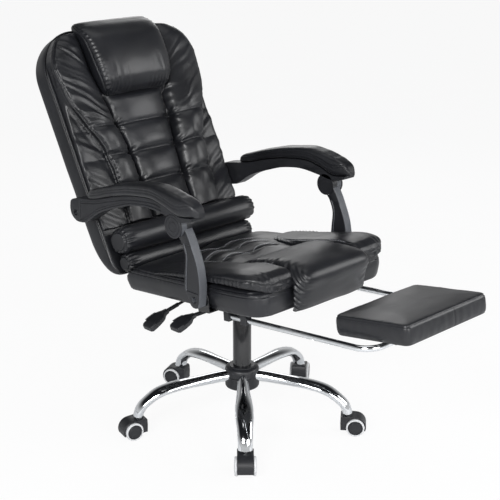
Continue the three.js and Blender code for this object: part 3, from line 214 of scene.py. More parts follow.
def soft_leather():
    """Polyurethane leather on knitted cloth: an embossed satin skin, so fine pebbles and a slow shine."""
    finish, tree, shader, place = new_finish("satin_pu_leather", "#17181b", Roughness=0.38, IOR=1.5)
    # Real pebbles are about 1 mm, drawn at 2.4 mm so that they show
    smooth = {"feature": "SMOOTH_F1"}
    pebbles = add_node(tree, "TexVoronoi", smooth, Vector=place, Scale=1 / (2.4 * MM), Smoothness=0.6)
    wrinkles = add_node(tree, "TexNoise", Vector=place, Scale=1 / (45 * MM), Detail=3, Roughness=0.5, Distortion=0.3)
    patches = add_node(tree, "TexNoise", Vector=place, Scale=1 / (130 * MM), Detail=2).outputs["Fac"]
    tone = add_node(tree, "ValToRGB", stops=[(0.3, "#141518"), (0.7, "#1c1d21")], Fac=patches).outputs["Color"]
    folds = add_node(tree, "Bump", Height=wrinkles.outputs["Fac"], Strength=0.12, Distance=4 * MM).outputs["Normal"]
    grain = add_node(tree, "Bump", Height=pebbles.outputs["Distance"], Strength=0.1, Distance=0.4 * MM, Normal=folds)
    shine = add_node(tree, "MapRange", Value=patches, To_Min=0.32, To_Max=0.43).outputs["Result"]
    feed(tree, shader, Base_Color=tone, Roughness=shine, Normal=grain.outputs["Normal"])
    return finish


def sewing_thread(name, colour):
    """Twisted nylon thread: a dull surface that catches light along its plies."""
    finish, tree, shader, place = new_finish(name, colour, Roughness=0.55)
    # Plies about 1.2 mm apart: a band texture repeats every 0.314 at a scale of 1
    plies = add_node(tree, "TexWave", {"bands_direction": "DIAGONAL"}, Vector=place, Scale=1 / (4 * MM))
    twist = add_node(tree, "Bump", Height=plies.outputs["Fac"], Strength=0.3, Distance=0.3 * MM)
    feed(tree, shader, Normal=twist.outputs["Normal"])
    return finish


def dust_cover():
    """Black non-woven cloth, stapled over the boards' undersides: flat fibres pressed together, quite dull."""
    finish, tree, shader, place = new_finish("nonwoven_dust_cover", "#141416", Roughness=0.85)
    # Real fibres are finer than 0.1 mm, drawn as clumps of 3 mm so that they show
    fibres = add_node(tree, "TexNoise", Vector=place, Scale=1 / (3 * MM), Detail=5, Distortion=0.8).outputs["Fac"]
    pressed = add_node(tree, "Bump", Height=fibres, Strength=0.25, Distance=0.3 * MM)
    tone = add_node(tree, "ValToRGB", stops=[(0.3, "#101012"), (0.7, "#1b1b1e")], Fac=fibres).outputs["Color"]
    feed(tree, shader, Base_Color=tone, Normal=pressed.outputs["Normal"])
    return finish


def moulded_plastic(name, dark, light, roughness):
    """Nylon moulded in a spark-eroded tool: an even fine grain and a satin shine with rubbed patches."""
    finish, tree, shader, place = new_finish(name, dark, Roughness=roughness, IOR=1.5)
    # Real spark grain is about 0.1 mm, drawn at 1.6 mm so that it shows
    grain = add_node(tree, "TexNoise", Vector=place, Scale=1 / (1.6 * MM), Detail=3)
    rubbed = add_node(tree, "TexNoise", Vector=place, Scale=1 / (50 * MM), Detail=3).outputs["Fac"]
    pitted = add_node(tree, "Bump", Height=grain.outputs["Fac"], Strength=0.18, Distance=0.4 * MM)
    tone = add_node(tree, "ValToRGB", stops=[(0.3, dark), (0.7, light)], Fac=rubbed).outputs["Color"]
    shine = add_node(tree, "MapRange", Value=rubbed, To_Min=roughness - 0.07, To_Max=roughness + 0.08)
    feed(tree, shader, Base_Color=tone, Roughness=shine.outputs["Result"], Normal=pitted.outputs["Normal"])
    return finish


def enamelled_steel():
    """Powder-coated steel: deep black with a slight orange peel."""
    finish, tree, shader, place = new_finish("black_enamel", "#0e0f11", Roughness=0.16, IOR=1.5, Coat_Weight=0.5)
    peel = add_node(tree, "TexNoise", Vector=place, Scale=1 / (6 * MM), Detail=2).outputs["Fac"]
    skin = add_node(tree, "Bump", Height=peel, Strength=0.06, Distance=0.5 * MM)
    tone = add_node(tree, "ValToRGB", stops=[(0.3, "#0c0d0f"), (0.7, "#111215")], Fac=peel).outputs["Color"]
    feed(tree, shader, Base_Color=tone, Normal=skin.outputs["Normal"])
    return finish


def chromed_tube():
    """Chromium on polished steel: a cool mirror with a faint haze from handling."""
    finish, tree, shader, place = new_finish("chrome_plate", "#e6e8ea", Metallic=1.0, Roughness=0.08)
    haze = add_node(tree, "TexNoise", Vector=place, Scale=1 / (60 * MM), Detail=4).outputs["Fac"]
    tone = add_node(tree, "ValToRGB", stops=[(0.3, "#dfe2e5"), (0.7, "#eceef0")], Fac=haze).outputs["Color"]
    dull = add_node(tree, "MapRange", Value=haze, To_Min=0.05, To_Max=0.13).outputs["Result"]
    feed(tree, shader, Base_Color=tone, Roughness=dull)
    return finish


def zinc_plate():
    """Zinc on pressed steel: a grey metal with drawn streaks along its length."""
    finish, tree, shader, place = new_finish("zinc_plate", "#9a9da2", Metallic=1.0, Roughness=0.38)
    drawn = add_node(tree, "Mapping", Vector=place, Scale=(1.0, 0.08, 1.0)).outputs["Vector"]
    # Real streaks are about 0.2 mm wide, drawn at 1.5 mm so that they show
    streaks = add_node(tree, "TexNoise", Vector=drawn, Scale=1 / (1.5 * MM), Detail=3).outputs["Fac"]
    scratch = add_node(tree, "Bump", Height=streaks, Strength=0.1, Distance=0.2 * MM)
    tone = add_node(tree, "ValToRGB", stops=[(0.3, "#8b8e93"), (0.7, "#a9acb0")], Fac=streaks).outputs["Color"]
    feed(tree, shader, Base_Color=tone, Normal=scratch.outputs["Normal"])
    return finish


def ribbed_nylon():
    """Nylon moulded with fine upright ribs, which break the light into stripes; the colour is also painted lighter on
    the rib crests and darker in the grooves, as painted highlight and painted shade.
    """
    finish, tree, shader, place = new_finish("ribbed_nylon", "#484b50", Roughness=0.42, IOR=1.5)
    # Ribs 2.4 mm apart: a band texture repeats every 0.314 at a scale of 1
    bands = {"bands_direction": "X", "wave_profile": "SIN"}
    ribs = add_node(tree, "TexWave", bands, Vector=place, Scale=0.314 / (2.4 * MM)).outputs["Fac"]
    grain = add_node(tree, "TexNoise", Vector=place, Scale=1 / (2 * MM), Detail=3).outputs["Fac"]
    raised = add_node(tree, "Bump", Height=ribs, Strength=0.7, Distance=0.6 * MM).outputs["Normal"]
    pitted = add_node(tree, "Bump", Height=grain, Strength=0.15, Distance=0.3 * MM, Normal=raised)
    # Painted highlight and shade: the tone follows the rib height, lighter on the crests and darker in the grooves
    tone = add_node(tree, "ValToRGB", stops=[(0.1, "#3a3c41"), (0.9, "#5c5f64")], Fac=ribs).outputs["Color"]
    shine = add_node(tree, "MapRange", Value=grain, To_Min=0.36, To_Max=0.5).outputs["Result"]
    feed(tree, shader, Base_Color=tone, Roughness=shine, Normal=pitted.outputs["Normal"])
    return finish


leather = soft_leather()
thread = sewing_thread("dark_nylon_thread", "#4a4b50")
pale_thread = sewing_thread("pale_nylon_thread", "#b0b2b7")
black_plastic = moulded_plastic("satin_nylon", "#1a1b1e", "#212226", 0.42)
ribbed_plastic = ribbed_nylon()
wheel_plastic = moulded_plastic("pale_wheel_tread", "#c9cacc", "#dcddde", 0.45)
black_steel = enamelled_steel()
chrome = chromed_tube()
zinc = zinc_plate()
dark_cloth = dust_cover()


# Handing a finished piece over to the frame, and modelling tools
SHARP_ANGLE = 34


def settle(piece, place, finishes, body, nodes=()):
    """Puts the place into the mesh, gives the finishes, ties the piece to its body, and hides the CAD nodes it stands
    for.
    """
    piece.data.transform(place)
    if place.determinant() < 0:
        piece.data.flip_normals()
    piece.data.materials.clear()
    for finish in finishes:
        piece.data.materials.append(finish)
    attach(piece, body)
    if nodes:
        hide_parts(*nodes)


def settle_pad(piece, place, body, node):
    """Settles a padded skin, whose mesh is in metres of its own frame, in place of its CAD node."""
    settle(piece, place @ Matrix.Scale(1 / MM, 4), [leather], body, [node])


def add_object(name, data):
    """A new object in the scene."""
    added = bpy.data.objects.new(name, data)
    bpy.context.collection.objects.link(added)
    return added


def select_only(*pieces):
    """Selects these pieces alone, with the first one active."""
    bpy.ops.object.select_all(action="DESELECT")
    for piece in pieces:
        piece.select_set(True)
    bpy.context.view_layer.objects.active = pieces[0]


def apply_modifier(piece, kind, **settings):
    """Adds a modifier and applies it."""
    modifier = piece.modifiers.new(kind.lower(), kind)
    for name, value in settings.items():
        setattr(modifier, name, value)
    bpy.context.view_layer.objects.active = piece
    bpy.ops.object.modifier_apply(modifier=modifier.name)


def shaping(piece):
    """Selects one piece alone and opens it in edit mode with all of it selected."""
    select_only(piece)
    bpy.ops.object.mode_set(mode="EDIT")
    bpy.ops.mesh.select_all(action="SELECT")


def pick(piece, wanted):
    """Selects the faces of the open piece for which wanted(middle, normal) holds."""
    bpy.ops.mesh.select_mode(type="FACE")
    bpy.ops.mesh.select_all(action="DESELECT")
    shape = bmesh.from_edit_mesh(piece.data)
    shape.faces.ensure_lookup_table()
    for face in shape.faces:
        face.select = wanted(face.calc_center_median(), face.normal)
    bmesh.update_edit_mesh(piece.data)


def turned(name, profile, sides=40):
    """Solid of revolution about Z: a disc at the first (radius, height) pair, drawn up through the others."""
    bpy.ops.object.select_all(action="DESELECT")
    bpy.ops.mesh.primitive_circle_add(vertices=sides, radius=profile[0][0], fill_type="NGON")
    piece = bpy.context.active_object
    piece.name = name
    shaping(piece)
    bpy.ops.transform.translate(value=(0, 0, profile[0][1]))
    for (before, low), (after, high) in zip(profile, profile[1:]):
        bpy.ops.mesh.extrude_region_move(TRANSFORM_OT_translate={"value": (0, 0, high - low)})
        bpy.ops.transform.resize(value=(after / before, after / before, 1), center_override=(0, 0, high))
    return finished(piece)


def finished(piece):
    """Closes edit mode with the normals outwards, and smooths all but the sharp edges."""
    bpy.ops.mesh.select_all(action="SELECT")
    bpy.ops.mesh.normals_make_consistent(inside=False)
    bpy.ops.object.mode_set(mode="OBJECT")
    return smoothed(piece)


def smoothed(piece):
    """Smooths all edges but those sharper than the limit."""
    bpy.ops.object.shade_smooth_by_angle(angle=math.radians(SHARP_ANGLE))
    return piece


def swept(name, line, widths, heights, sides=28, spin=0.0, level=False, corner=0.0):
    """Bar along a line in the XZ plane: a section drawn out along X, then bent ring by ring onto the line."""
    line = [Vector(point) for point in line]
    spots = lengths_along(line)
    bpy.ops.object.select_all(action="DESELECT")
    bpy.ops.mesh.primitive_circle_add(vertices=sides, radius=1, fill_type="NGON")
    piece = bpy.context.active_object
    piece.name = name
    shaping(piece)
    bpy.ops.transform.rotate(value=spin, orient_axis="Z", center_override=(0, 0, 0))
    bpy.ops.transform.rotate(value=math.pi / 2, orient_axis="Y", center_override=(0, 0, 0))
    widest = max(widths)
    highest = max(heights)
    bpy.ops.transform.resize(value=(1, widest, highest), center_override=(0, 0, 0))
    if corner:
        bpy.ops.mesh.bevel(offset=corner, segments=3, affect="VERTICES")
        bpy.ops.mesh.select_all(action="SELECT")
    bpy.ops.transform.resize(value=(1, widths[0] / widest, heights[0] / highest), center_override=(0, 0, 0))
    for place in range(1, len(line)):
        bpy.ops.mesh.extrude_region_move(TRANSFORM_OT_translate={"value": (spots[place] - spots[place - 1], 0, 0)})
        grown = (1, widths[place] / widths[place - 1], heights[place] / heights[place - 1])
        bpy.ops.transform.resize(value=grown, center_override=(spots[place], 0, 0))
    bend_rings(piece, line, spots, level)
    return finished(piece)


def bar(name, line, widths, heights, corner, level=False):
    """Bar of rectangular section with rounded corners, along a line in the XZ plane."""
    across = [width * math.sqrt(2) for width in widths]
    upwards = [height * math.sqrt(2) for height in heights]
    return swept(name, line, across, upwards, 4, math.pi / 4, level, corner)


def bend_rings(piece, line, spots, level):
    """Turns each ring of a straight open piece square to the line, unless it stays level, and moves it there."""
    bpy.ops.mesh.select_mode(type="VERT")
    rings = [[] for _ in line]
    shape = bmesh.from_edit_mesh(piece.data)
    shape.verts.ensure_lookup_table()
    for vertex in shape.verts:
        nearest = min(range(len(spots)), key=lambda place: abs(spots[place] - vertex.co.x))
        rings[nearest].append(vertex.index)
    for place, ring in enumerate(rings):
        along = (line[min(place + 1, len(line) - 1)] - line[max(place - 1, 0)]).normalized()
        pitch = 0.0 if level else math.atan2(along.z, along.x)
        bpy.ops.mesh.select_all(action="DESELECT")
        shape = bmesh.from_edit_mesh(piece.data)
        shape.verts.ensure_lookup_table()
        for index in ring:
            shape.verts[index].select = True
        bmesh.update_edit_mesh(piece.data)
        middle = (spots[place], 0, 0)
        bpy.ops.transform.rotate(value=pitch, orient_axis="Y", center_override=middle)
        bpy.ops.transform.translate(value=line[place] - Vector(middle))


def block(name, low, high):
    """Plain block between two corners, used as a cutter."""
    bpy.ops.object.select_all(action="DESELECT")
    bpy.ops.mesh.primitive_cube_add(size=1)
    piece = bpy.context.active_object
    piece.name = name
    low = Vector(low)
    size = Vector(high) - low
    piece.data.transform(Matrix.Translation(low + size / 2) @ Matrix.Diagonal((*size, 1)))
    return piece


def drum(name, radius, x0, x1, y, z, sides=56):
    """Plain cylinder along X, used as a cutter or as a knuckle."""
    bpy.ops.object.select_all(action="DESELECT")
    bpy.ops.mesh.primitive_cylinder_add(vertices=sides, radius=radius, depth=abs(x1 - x0))
    piece = bpy.context.active_object
    piece.name = name
    piece.data.transform(moved((x0 + x1) / 2, y, z) @ Matrix.Rotation(math.pi / 2, 4, "Y"))
    return piece


def carve(piece, *cutters):
    """Cuts the cutters out of a piece and removes them."""
    for cutter in cutters:
        apply_modifier(piece, "BOOLEAN", object=cutter, operation="DIFFERENCE", solver="EXACT")
        bpy.data.objects.remove(cutter)


def sink(piece, margin, slope, depths, wanted):
    """Sinks a panel into the picked faces by each depth in turn, a margin in from the edge, with a slope between."""
    pick(piece, wanted)
    for depth in depths:
        bpy.ops.mesh.inset(thickness=margin, depth=0)
        bpy.ops.mesh.inset(thickness=slope, depth=depth)


def joined(name, *pieces):
    """Several pieces made one."""
    select_only(*pieces)
    bpy.ops.object.join()
    pieces[0].name = name
    return pieces[0]


def copied(piece, name, place):
    """A copy with its own mesh, put in a place."""
    copy = piece.copy()
    copy.data = piece.data.copy()
    copy.name = name
    bpy.context.collection.objects.link(copy)
    copy.data.transform(place)
    return copy


def eased_copy(node, width, body, finish):
    """A copy of a CAD node with its loose triangles merged and its edges rounded, standing for it."""
    source = frame["nodes"][node]
    piece = source.copy()
    piece.data = source.data.copy()
    piece.parent = None
    piece.matrix_world = Matrix.Identity(4)
    piece.name = f"{node}_eased"
    bpy.context.collection.objects.link(piece)
    piece.hide_render = False
    shaping(piece)
    bpy.ops.mesh.remove_doubles(threshold=0.00002)
    bpy.ops.mesh.dissolve_limited(angle_limit=math.radians(1.5))
    finished(piece)
    apply_modifier(piece, "BEVEL", width=width * MM, segments=2, limit_method="ANGLE", angle_limit=math.radians(36))
    smoothed(piece)
    settle(piece, Matrix.Identity(4), [finish], body, [node])


# Padded pieces: a skin through rings, filled by a cloth simulation, then sewn
CLOTH = {
    "quality": 5, "mass": 0.25, "tension_stiffness": 20, "compression_stiffness": 20, "shear_stiffness": 8,
    "bending_stiffness": 6, "use_pressure": True,
}
CLOTH_FRAMES = 14
# Thick pale thread on the seat's top, drawn heavier than real so that it shows
PALE_ROW = {"pitch": 4.6, "length": 4.4, "thickness": 1.8, "lift": 1.0, "finish": pale_thread}


def padded_skin(name, rings):
    """Closed mesh in metres through rings of points in millimetres; "along" keeps each point's share of the rings."""
    count = len(rings[0])
    points = [point for ring in rings for point in ring]
    faces = []
    for ring in range(len(rings) - 1):
        for step in range(count):
            here = ring * count + step
            beside = ring * count + (step + 1) % count
            faces.append((here, beside, beside + count, here + count))
    for ring in (0, len(rings) - 1):
        points.append(sum(rings[ring], Vector()) / count)
        for step in range(count):
            here = ring * count + step
            beside = ring * count + (step + 1) % count
            corner = (beside, here) if ring == 0 else (here, beside)
            faces.append((*corner, len(points) - 1))
    mesh = bpy.data.meshes.new(name)
    mesh.from_pydata([p * MM for p in points], [], faces)
    along = mesh.attributes.new("along", "FLOAT", "POINT")
    for ring, share in enumerate(shares(len(rings) - 1)):
        for step in range(count):
            along.data[ring * count + step].value = share
    along.data[len(points) - 1].value = 1
    piece = add_object(name, mesh)
    turn_outwards(piece)
    return piece


def turn_outwards(piece):
    """Points the faces of a closed mesh outwards."""
    shaping(piece)
    bpy.ops.mesh.normals_make_consistent(inside=False)
    bpy.ops.object.mode_set(mode="OBJECT")


def fill_with_air(piece, sewn, pressure, cap):
    """Cloth swollen by pressure, by cap millimetres at most; sewn(point) says how firmly a point is held, 0 to 1."""
    group = piece.vertex_groups.new(name="sewn")
    for vertex in piece.data.vertices:
        group.add([vertex.index], clamp(sewn(vertex.co / MM)), "REPLACE")
    before = [vertex.co.copy() for vertex in piece.data.vertices]
    cloth = piece.modifiers.new("filling", "CLOTH")
    for name, value in CLOTH.items():
        setattr(cloth.settings, name, value)
    cloth.settings.uniform_pressure_force = pressure
    cloth.settings.vertex_group_mass = "sewn"
    cloth.settings.effector_weights.gravity = 0
    cloth.collision_settings.use_collision = False
    for step in range(1, CLOTH_FRAMES + 1):
        bpy.context.scene.frame_set(step)
    filled = piece.evaluated_get(bpy.context.evaluated_depsgraph_get()).data
    after = [vertex.co.copy() for vertex in filled.vertices]
    piece.modifiers.remove(cloth)
    piece.vertex_groups.remove(group)
    bpy.context.scene.frame_set(1)
    for vertex, old, new in zip(piece.data.vertices, before, after):
        shift = new - old
        vertex.co = old + shift * min(1.0, cap * MM / max(shift.length, 1e-9))


def press(piece, depth, *rows):
    """Moves each point along its normal by depth(point) in millimetres; rows hold more values for it, by point."""
    normals = [vertex.normal.copy() for vertex in piece.data.vertices]
    for vertex, normal, *values in zip(piece.data.vertices, normals, *rows):
        vertex.co += normal * MM * depth(vertex.co / MM, *values)


def refine(piece):
    """Halves every face and smooths the shape."""
    apply_modifier(piece, "SUBSURF", levels=1, render_levels=1)
    piece.data.shade_smooth()


def drawn_tube(name, line, radius, place, body):
    """Thin leather tube along a line in millimetres, such as piping or a binding."""
    curve = bpy.data.curves.new(name, "CURVE")
    curve.dimensions = "3D"
    curve.bevel_depth = radius
    curve.bevel_resolution = 1
    curve.use_fill_caps = True
    spline = curve.splines.new("POLY")
    spline.points.add(len(line) - 1)
    for spot, point in zip(spline.points, line):
        spot.co = (*point, 1)
    select_only(add_object(name, curve))
    bpy.ops.object.convert(target="MESH")
    piece = bpy.context.active_object
    piece.data.shade_smooth()
    settle(piece, place, [leather], body)


def on_skin(skin, line, lift):
    """The line's points moved to the nearest place on a skin and lifted off it; both in the skin's own metres."""
    laid = []
    for point in line:
        hit, spot, normal, _ = skin.closest_point_on_mesh(point)
        if hit:
            laid.append((spot + normal * lift * MM, normal))
    return laid


def stitches(name, skin, lines, body, pitch, length=3.2, thickness=0.8, lift=0.0, finish=thread):
    """Rows of stitches in thread, lying on a skin that is already in place; the lines are in metres."""
    points = []
    faces = []
    half = length / 2 * MM
    thin = thickness / 2 * MM
    for line in lines:
        walked = 0.0
        for start, end in zip(line, line[1:]):
            walked += (end - start).length
            if walked < pitch * MM:
                continue
            walked = 0.0
            hit, spot, normal, _ = skin.closest_point_on_mesh(end)
            if not hit:
                continue
            along = (end - start).normalized()
            across = along.cross(normal).normalized()
            base = len(points)
            centre = spot + normal * (thin * 0.4 + lift * MM)
            points += [centre - along * half, centre + along * half]
            points += [centre + across * thin, centre - across * thin, centre + normal * thin, centre - normal * thin]
            for a, b in ((2, 4), (4, 3), (3, 5), (5, 2)):
                faces += [(base, base + b, base + a), (base + 1, base + a, base + b)]
    mesh = bpy.data.meshes.new(name)
    mesh.from_pydata(points, [], faces)
    piece = add_object(name, mesh)
    turn_outwards(piece)
    settle(piece, Matrix.Identity(4), [finish], body)


def met_from(skin, place, point, away):
    """Where a skin is met on the way to a point of a frame from beside it, in metres, or else the point."""
    hit, spot, _, _ = skin.ray_cast(place @ (point + away), (place.to_3x3() @ -away).normalized())
    return spot if hit else place @ point


def in_place(place, line):
    """Points of a frame, put in place in metres."""
    return [place @ Vector(point) for point in line]


def dome(half_width, height, squareness, steps):
    """Section that is flat below and crowned above, as (across, up) pairs, closed along its flat foot."""
    top = steps * 2 // 3
    ring = []
    for step in range(top):
        angle = math.pi * step / (top - 1)
        across = half_width * power(math.cos(angle), squareness)
        ring.append((across, height * power(math.sin(angle), squareness * 0.7)))
    for step in range(1, steps - top + 1):
        ring.append((mix(-half_width, half_width, step / (steps - top + 1)), 0.0))
    return ring


def pillow(half_width, half_height, squareness, steps):
    """Full rounded section as (across, up) pairs, from its outer side."""
    ring = []
    for step in range(steps):
        angle = math.tau * step / steps
        across = half_width * power(math.cos(angle), squareness)
        ring.append((across, half_height * power(math.sin(angle), squareness)))
    return ring


def rounded_corners(corners, steps):
    """Quarter arcs in the plane about (centre across, centre up, radius, first angle), steps points to each."""
    spots = []
    for x, up, radius, start in corners:
        for share in shares(steps - 1):
            angle = math.radians(start + 90 * share)
            spots.append((x + radius * math.cos(angle), up + radius * math.sin(angle)))
    return spots


# Back shell: a flat padded slab, laced behind the cushion, with piping round its front edge
BACK_HALF_WIDTH = 250
BACK_TOP = 658
BACK_TOP_CORNER = 125
BACK_FOOT_CORNER = 30
BACK_THICKNESS = 62
BACK_FOOT_ROWS = [(0, 54), (14, 14), (36, -21), (62, -32)]
HINGE_NOTCH = {"half_width": 188, "top": 28}
# Rounded rim as (share of the thickness, inset) pairs, and how far the side bulges between them
SHELL_REAR_EDGE = [(1, 60), (1, 26), (1, 12), (0.985, 5.5), (0.93, 2.2), (0.84, 0.6)]
SHELL_FRONT_EDGE = [(0.86, 0.4), (0.95, 2.4), (0.99, 6), (1, 12), (1, 60)]
SHELL_BULGE = 1.2
PIPING_RADIUS = 2.6


def back_outline(foot, inset):
    """Outline of the back seen from the front, from a foot height, drawn in by inset."""
    top_corner = BACK_TOP_CORNER - inset * 0.6
    foot_corner = BACK_FOOT_CORNER - inset * 0.4
    half = BACK_HALF_WIDTH - inset
    top = BACK_TOP - inset - top_corner
    low = foot + inset + foot_corner
    spots = rounded_corners([
        (half - foot_corner, low, foot_corner, -90), (half - top_corner, top, top_corner, 0),
        (top_corner - half, top, top_corner, 90), (foot_corner - half, low, foot_corner, 180),
    ], 26)
    return evenly([Vector((x, 0, z)) for x, z in spots], 150)


def make_back_shell():
    """Slab with a rounded rim, notched over the hinge, and piping round its front edge."""
    rings = [(BACK_THICKNESS * (1 - share), inset) for share, inset in SHELL_REAR_EDGE]
    rings += [(BACK_THICKNESS * share, -SHELL_BULGE) for share in (0.28, 0.5, 0.72)]
    rings += [(BACK_THICKNESS * share, inset) for share, inset in SHELL_FRONT_EDGE]
    skin = []
    for depth, inset in rings:
        foot = ease(BACK_FOOT_ROWS, depth)
        skin.append([point + Vector((0, -depth, 0)) for point in back_outline(foot, inset)])
    inner = [1 - step / 6 for step in range(1, 6)]
    rear = [scale_ring(skin[0], share, 5 * (1 - share)) for share in reversed(inner)]
    front = [scale_ring(skin[-1], share, 0) for share in inner]
    piece = padded_skin("back_shell_pad", [*rear, *skin, *front])
    refine(piece)
    press(piece, lambda p: 0.5 * crease(p.x / 60, p.z / 90, 3) if p.y > -50 else 0)
    half = HINGE_NOTCH["half_width"]
    notch = block("hinge_notch", (-half, -80, -90), (half, 20, HINGE_NOTCH["top"]))
    notch.data.transform(Matrix.Scale(MM, 4))
    carve(piece, notch)
    settle_pad(piece, BACK_PLACE, "back", "back_shell")
    edge = [point + Vector((0, -BACK_THICKNESS + 3.5, 0)) for point in back_outline(-32, 0.6)]
    edge = [point for point in edge if point.z > 40]
    edge.sort(key=lambda point: (math.atan2(point.z - 200, point.x) + math.pi / 2) % math.tau)
    drawn_tube("back_shell_piping", edge, PIPING_RADIUS, BACK_PLACE, "back")


def scale_ring(ring, share, rise):
    """A ring drawn in towards its middle, and moved back by rise."""
    middle = sum(ring, Vector()) / len(ring)
    return [middle + (point - middle) * share + Vector((0, rise, 0)) for point in ring]


# Back cushion: panels between cross seams, with two lengthwise channels and a bound border
CUSHION_FOOT = 96
CUSHION_BORDER_DEPTH = 118
CUSHION_CROWN_DEPTH = 104
CUSHION_CHANNEL_DEPTH = 70
CUSHION_HEAD_DEPTH = 86
CUSHION_BASE = BACK_THICKNESS + 0.3
BINDING_RADIUS = 2.2
# Which point of the cushion's half section lies on its border
BORDER_POINT = 7
SEAM_SHARES = [0.305, 0.436, 0.564]
SEAM_HEIGHTS = [share * BACK_TOP for share in SEAM_SHARES]
WIDTH_SHARES = [(0.146, 0.66), (0.308, 0.668), (0.448, 0.7), (0.568, 0.824), (0.698, 0.956), (0.83, 1)]
DEPTH_SHARES = [(0.146, 0.8), (0.308, 0.9), (0.448, 0.98), (0.568, 1.02), (0.7, 0.96), (0.9, 0.92), (1, 0.7)]
CHANNEL_SHARES = [(0.2, 0.3), (0.311, 0.308), (0.442, 0.336), (0.576, 0.392), (0.66, 0.41), (0.687, 0.44), (0.8, 0.5)]
HEAD_SHARES = [(0.68, 1), (0.92, 0.96), (0.97, 0.88), (1, 0.78)]


def back_width_at(height):
    """Half width of the back's outline at a height."""
    over = max(0.0, height - (BACK_TOP - BACK_TOP_CORNER))
    return BACK_HALF_WIDTH - BACK_TOP_CORNER + math.sqrt(max(0.0, BACK_TOP_CORNER ** 2 - over ** 2))


def cushion_border(height):
    """Half width of the back cushion's raised part at a height."""
    return min(ease(WIDTH_SHARES, height / BACK_TOP) * BACK_HALF_WIDTH, back_width_at(height))


def cushion_channel(height):
    """Distance of the back cushion's lengthwise channels from its middle, at a height."""
    return min(ease(CHANNEL_SHARES, height / BACK_TOP) * BACK_HALF_WIDTH, cushion_border(height) * 0.8)


def panel_puff(height):
    """1 in the middle of a panel and 0 on its seams."""
    edges = [CUSHION_FOOT - 30, *SEAM_HEIGHTS, BACK_TOP * 1.1]
    for low, high in zip(edges, edges[1:]):
        if height <= high:
            along = clamp((height - low) / (high - low))
            return 1 - abs(2 * along - 1) ** 3.2 if high < BACK_TOP else 1 - (1 - along) ** 9
    return 1


def cushion_section(height):
    """Half section of the back cushion at a height, as (across, depth) from its middle to its rear corner."""
    share = height / BACK_TOP
    limit = back_width_at(height)
    border = cushion_border(height)
    base = min(BACK_HALF_WIDTH * 0.972, limit - 0.3)
    channel = cushion_channel(height)
    head = clamp((share - 0.665) / 0.035)
    head = head * head * (3 - 2 * head)
    puff = panel_puff(height)
    head_depth = CUSHION_HEAD_DEPTH * ease(HEAD_SHARES, share)
    crown = mix(CUSHION_CROWN_DEPTH - (1 - puff) * 12, head_depth, head)
    groove = mix(CUSHION_CHANNEL_DEPTH, head_depth, head)
    edge = CUSHION_BORDER_DEPTH * ease(DEPTH_SHARES, share) - (1 - puff) * 8
    recess = clamp((base - border - 6) / 16)
    return [
        (0, crown), (channel * 0.5, mix(crown, groove, 0.1)), (channel * 0.86, mix(crown, groove, 0.48)),
        (channel, groove), (mix(channel, border, 0.14), mix(groove, edge, 0.62)),
        (mix(channel, border, 0.5), edge * 1.02), (border - (border - channel) * 0.12, edge),
        (border, mix(CUSHION_BASE, edge, 0.8)),
        (border - 7 * recess, mix(CUSHION_BASE, edge, mix(0.6, 0.56, recess))),
        (mix(border, base, 0.25), mix(CUSHION_BASE, edge, mix(0.5, 0.4, recess))),
        (max(base, (border + base) / 2), mix(CUSHION_BASE, edge, mix(0.4, 0.36, recess))),
        (base, CUSHION_BASE),
    ]


def make_back_cushion():
    """The quilted cushion of the back, filled between its seams and gathered along them."""
    heights = [CUSHION_FOOT + 2, CUSHION_FOOT + 5]
    heights += [mix(CUSHION_FOOT + 10, BACK_TOP * 0.965, share) for share in shares(120)]
    rings = []
    for height in heights:
        half = cushion_section(height)
        whole = [(-x, depth) for x, depth in reversed(half[1:])] + half
        line = smooth_line([Vector((x, -depth, height)) for x, depth in whole], 120)
        rear = [Vector((mix(line[-1].x, line[0].x, step / 7), -CUSHION_BASE, height)) for step in range(1, 7)]
        rings.append([*line, *rear])
    foot_middle = Vector((0, -CUSHION_BASE, CUSHION_FOOT))
    rings.insert(0, [foot_middle.lerp(point, 0.7) for point in rings[0]])
    top_middle = Vector((0, -CUSHION_BASE - 8, BACK_TOP * 0.98))
    rings.append([top_middle.lerp(point, 0.92) + Vector((0, 0, 6)) for point in rings[-1]])
    rings.append([top_middle.lerp(point, 0.6) + Vector((0, 0, 7)) for point in rings[-2]])
    piece = padded_skin("back_cushion_pad", rings)

    def sewn(point):
        depth = -point.y
        border = cushion_border(point.z)
        if depth < CUSHION_BASE + 20 or point.z < CUSHION_FOOT + 12 or point.z > BACK_TOP * 0.94:
            return 1
        held = max(bump(point.z - seam, 4) for seam in SEAM_HEIGHTS)
        groove = bump(abs(point.x) - cushion_channel(point.z), 6) if point.z < HEAD["foot"] + 1 else 0
        rim = clamp((abs(point.x) - border + 12) / 6)
        under_head = 1 if abs(point.x) < HEAD["half_width"] + 5 and point.z > HEAD["foot"] - 2 else 0
        return max(held, groove, rim, under_head)

    fill_with_air(piece, sewn, pressure=3.0, cap=7)
    refine(piece)
    press(piece, cushion_folds)
    settle_pad(piece, BACK_PLACE, "back", "back_cushion")
    return piece


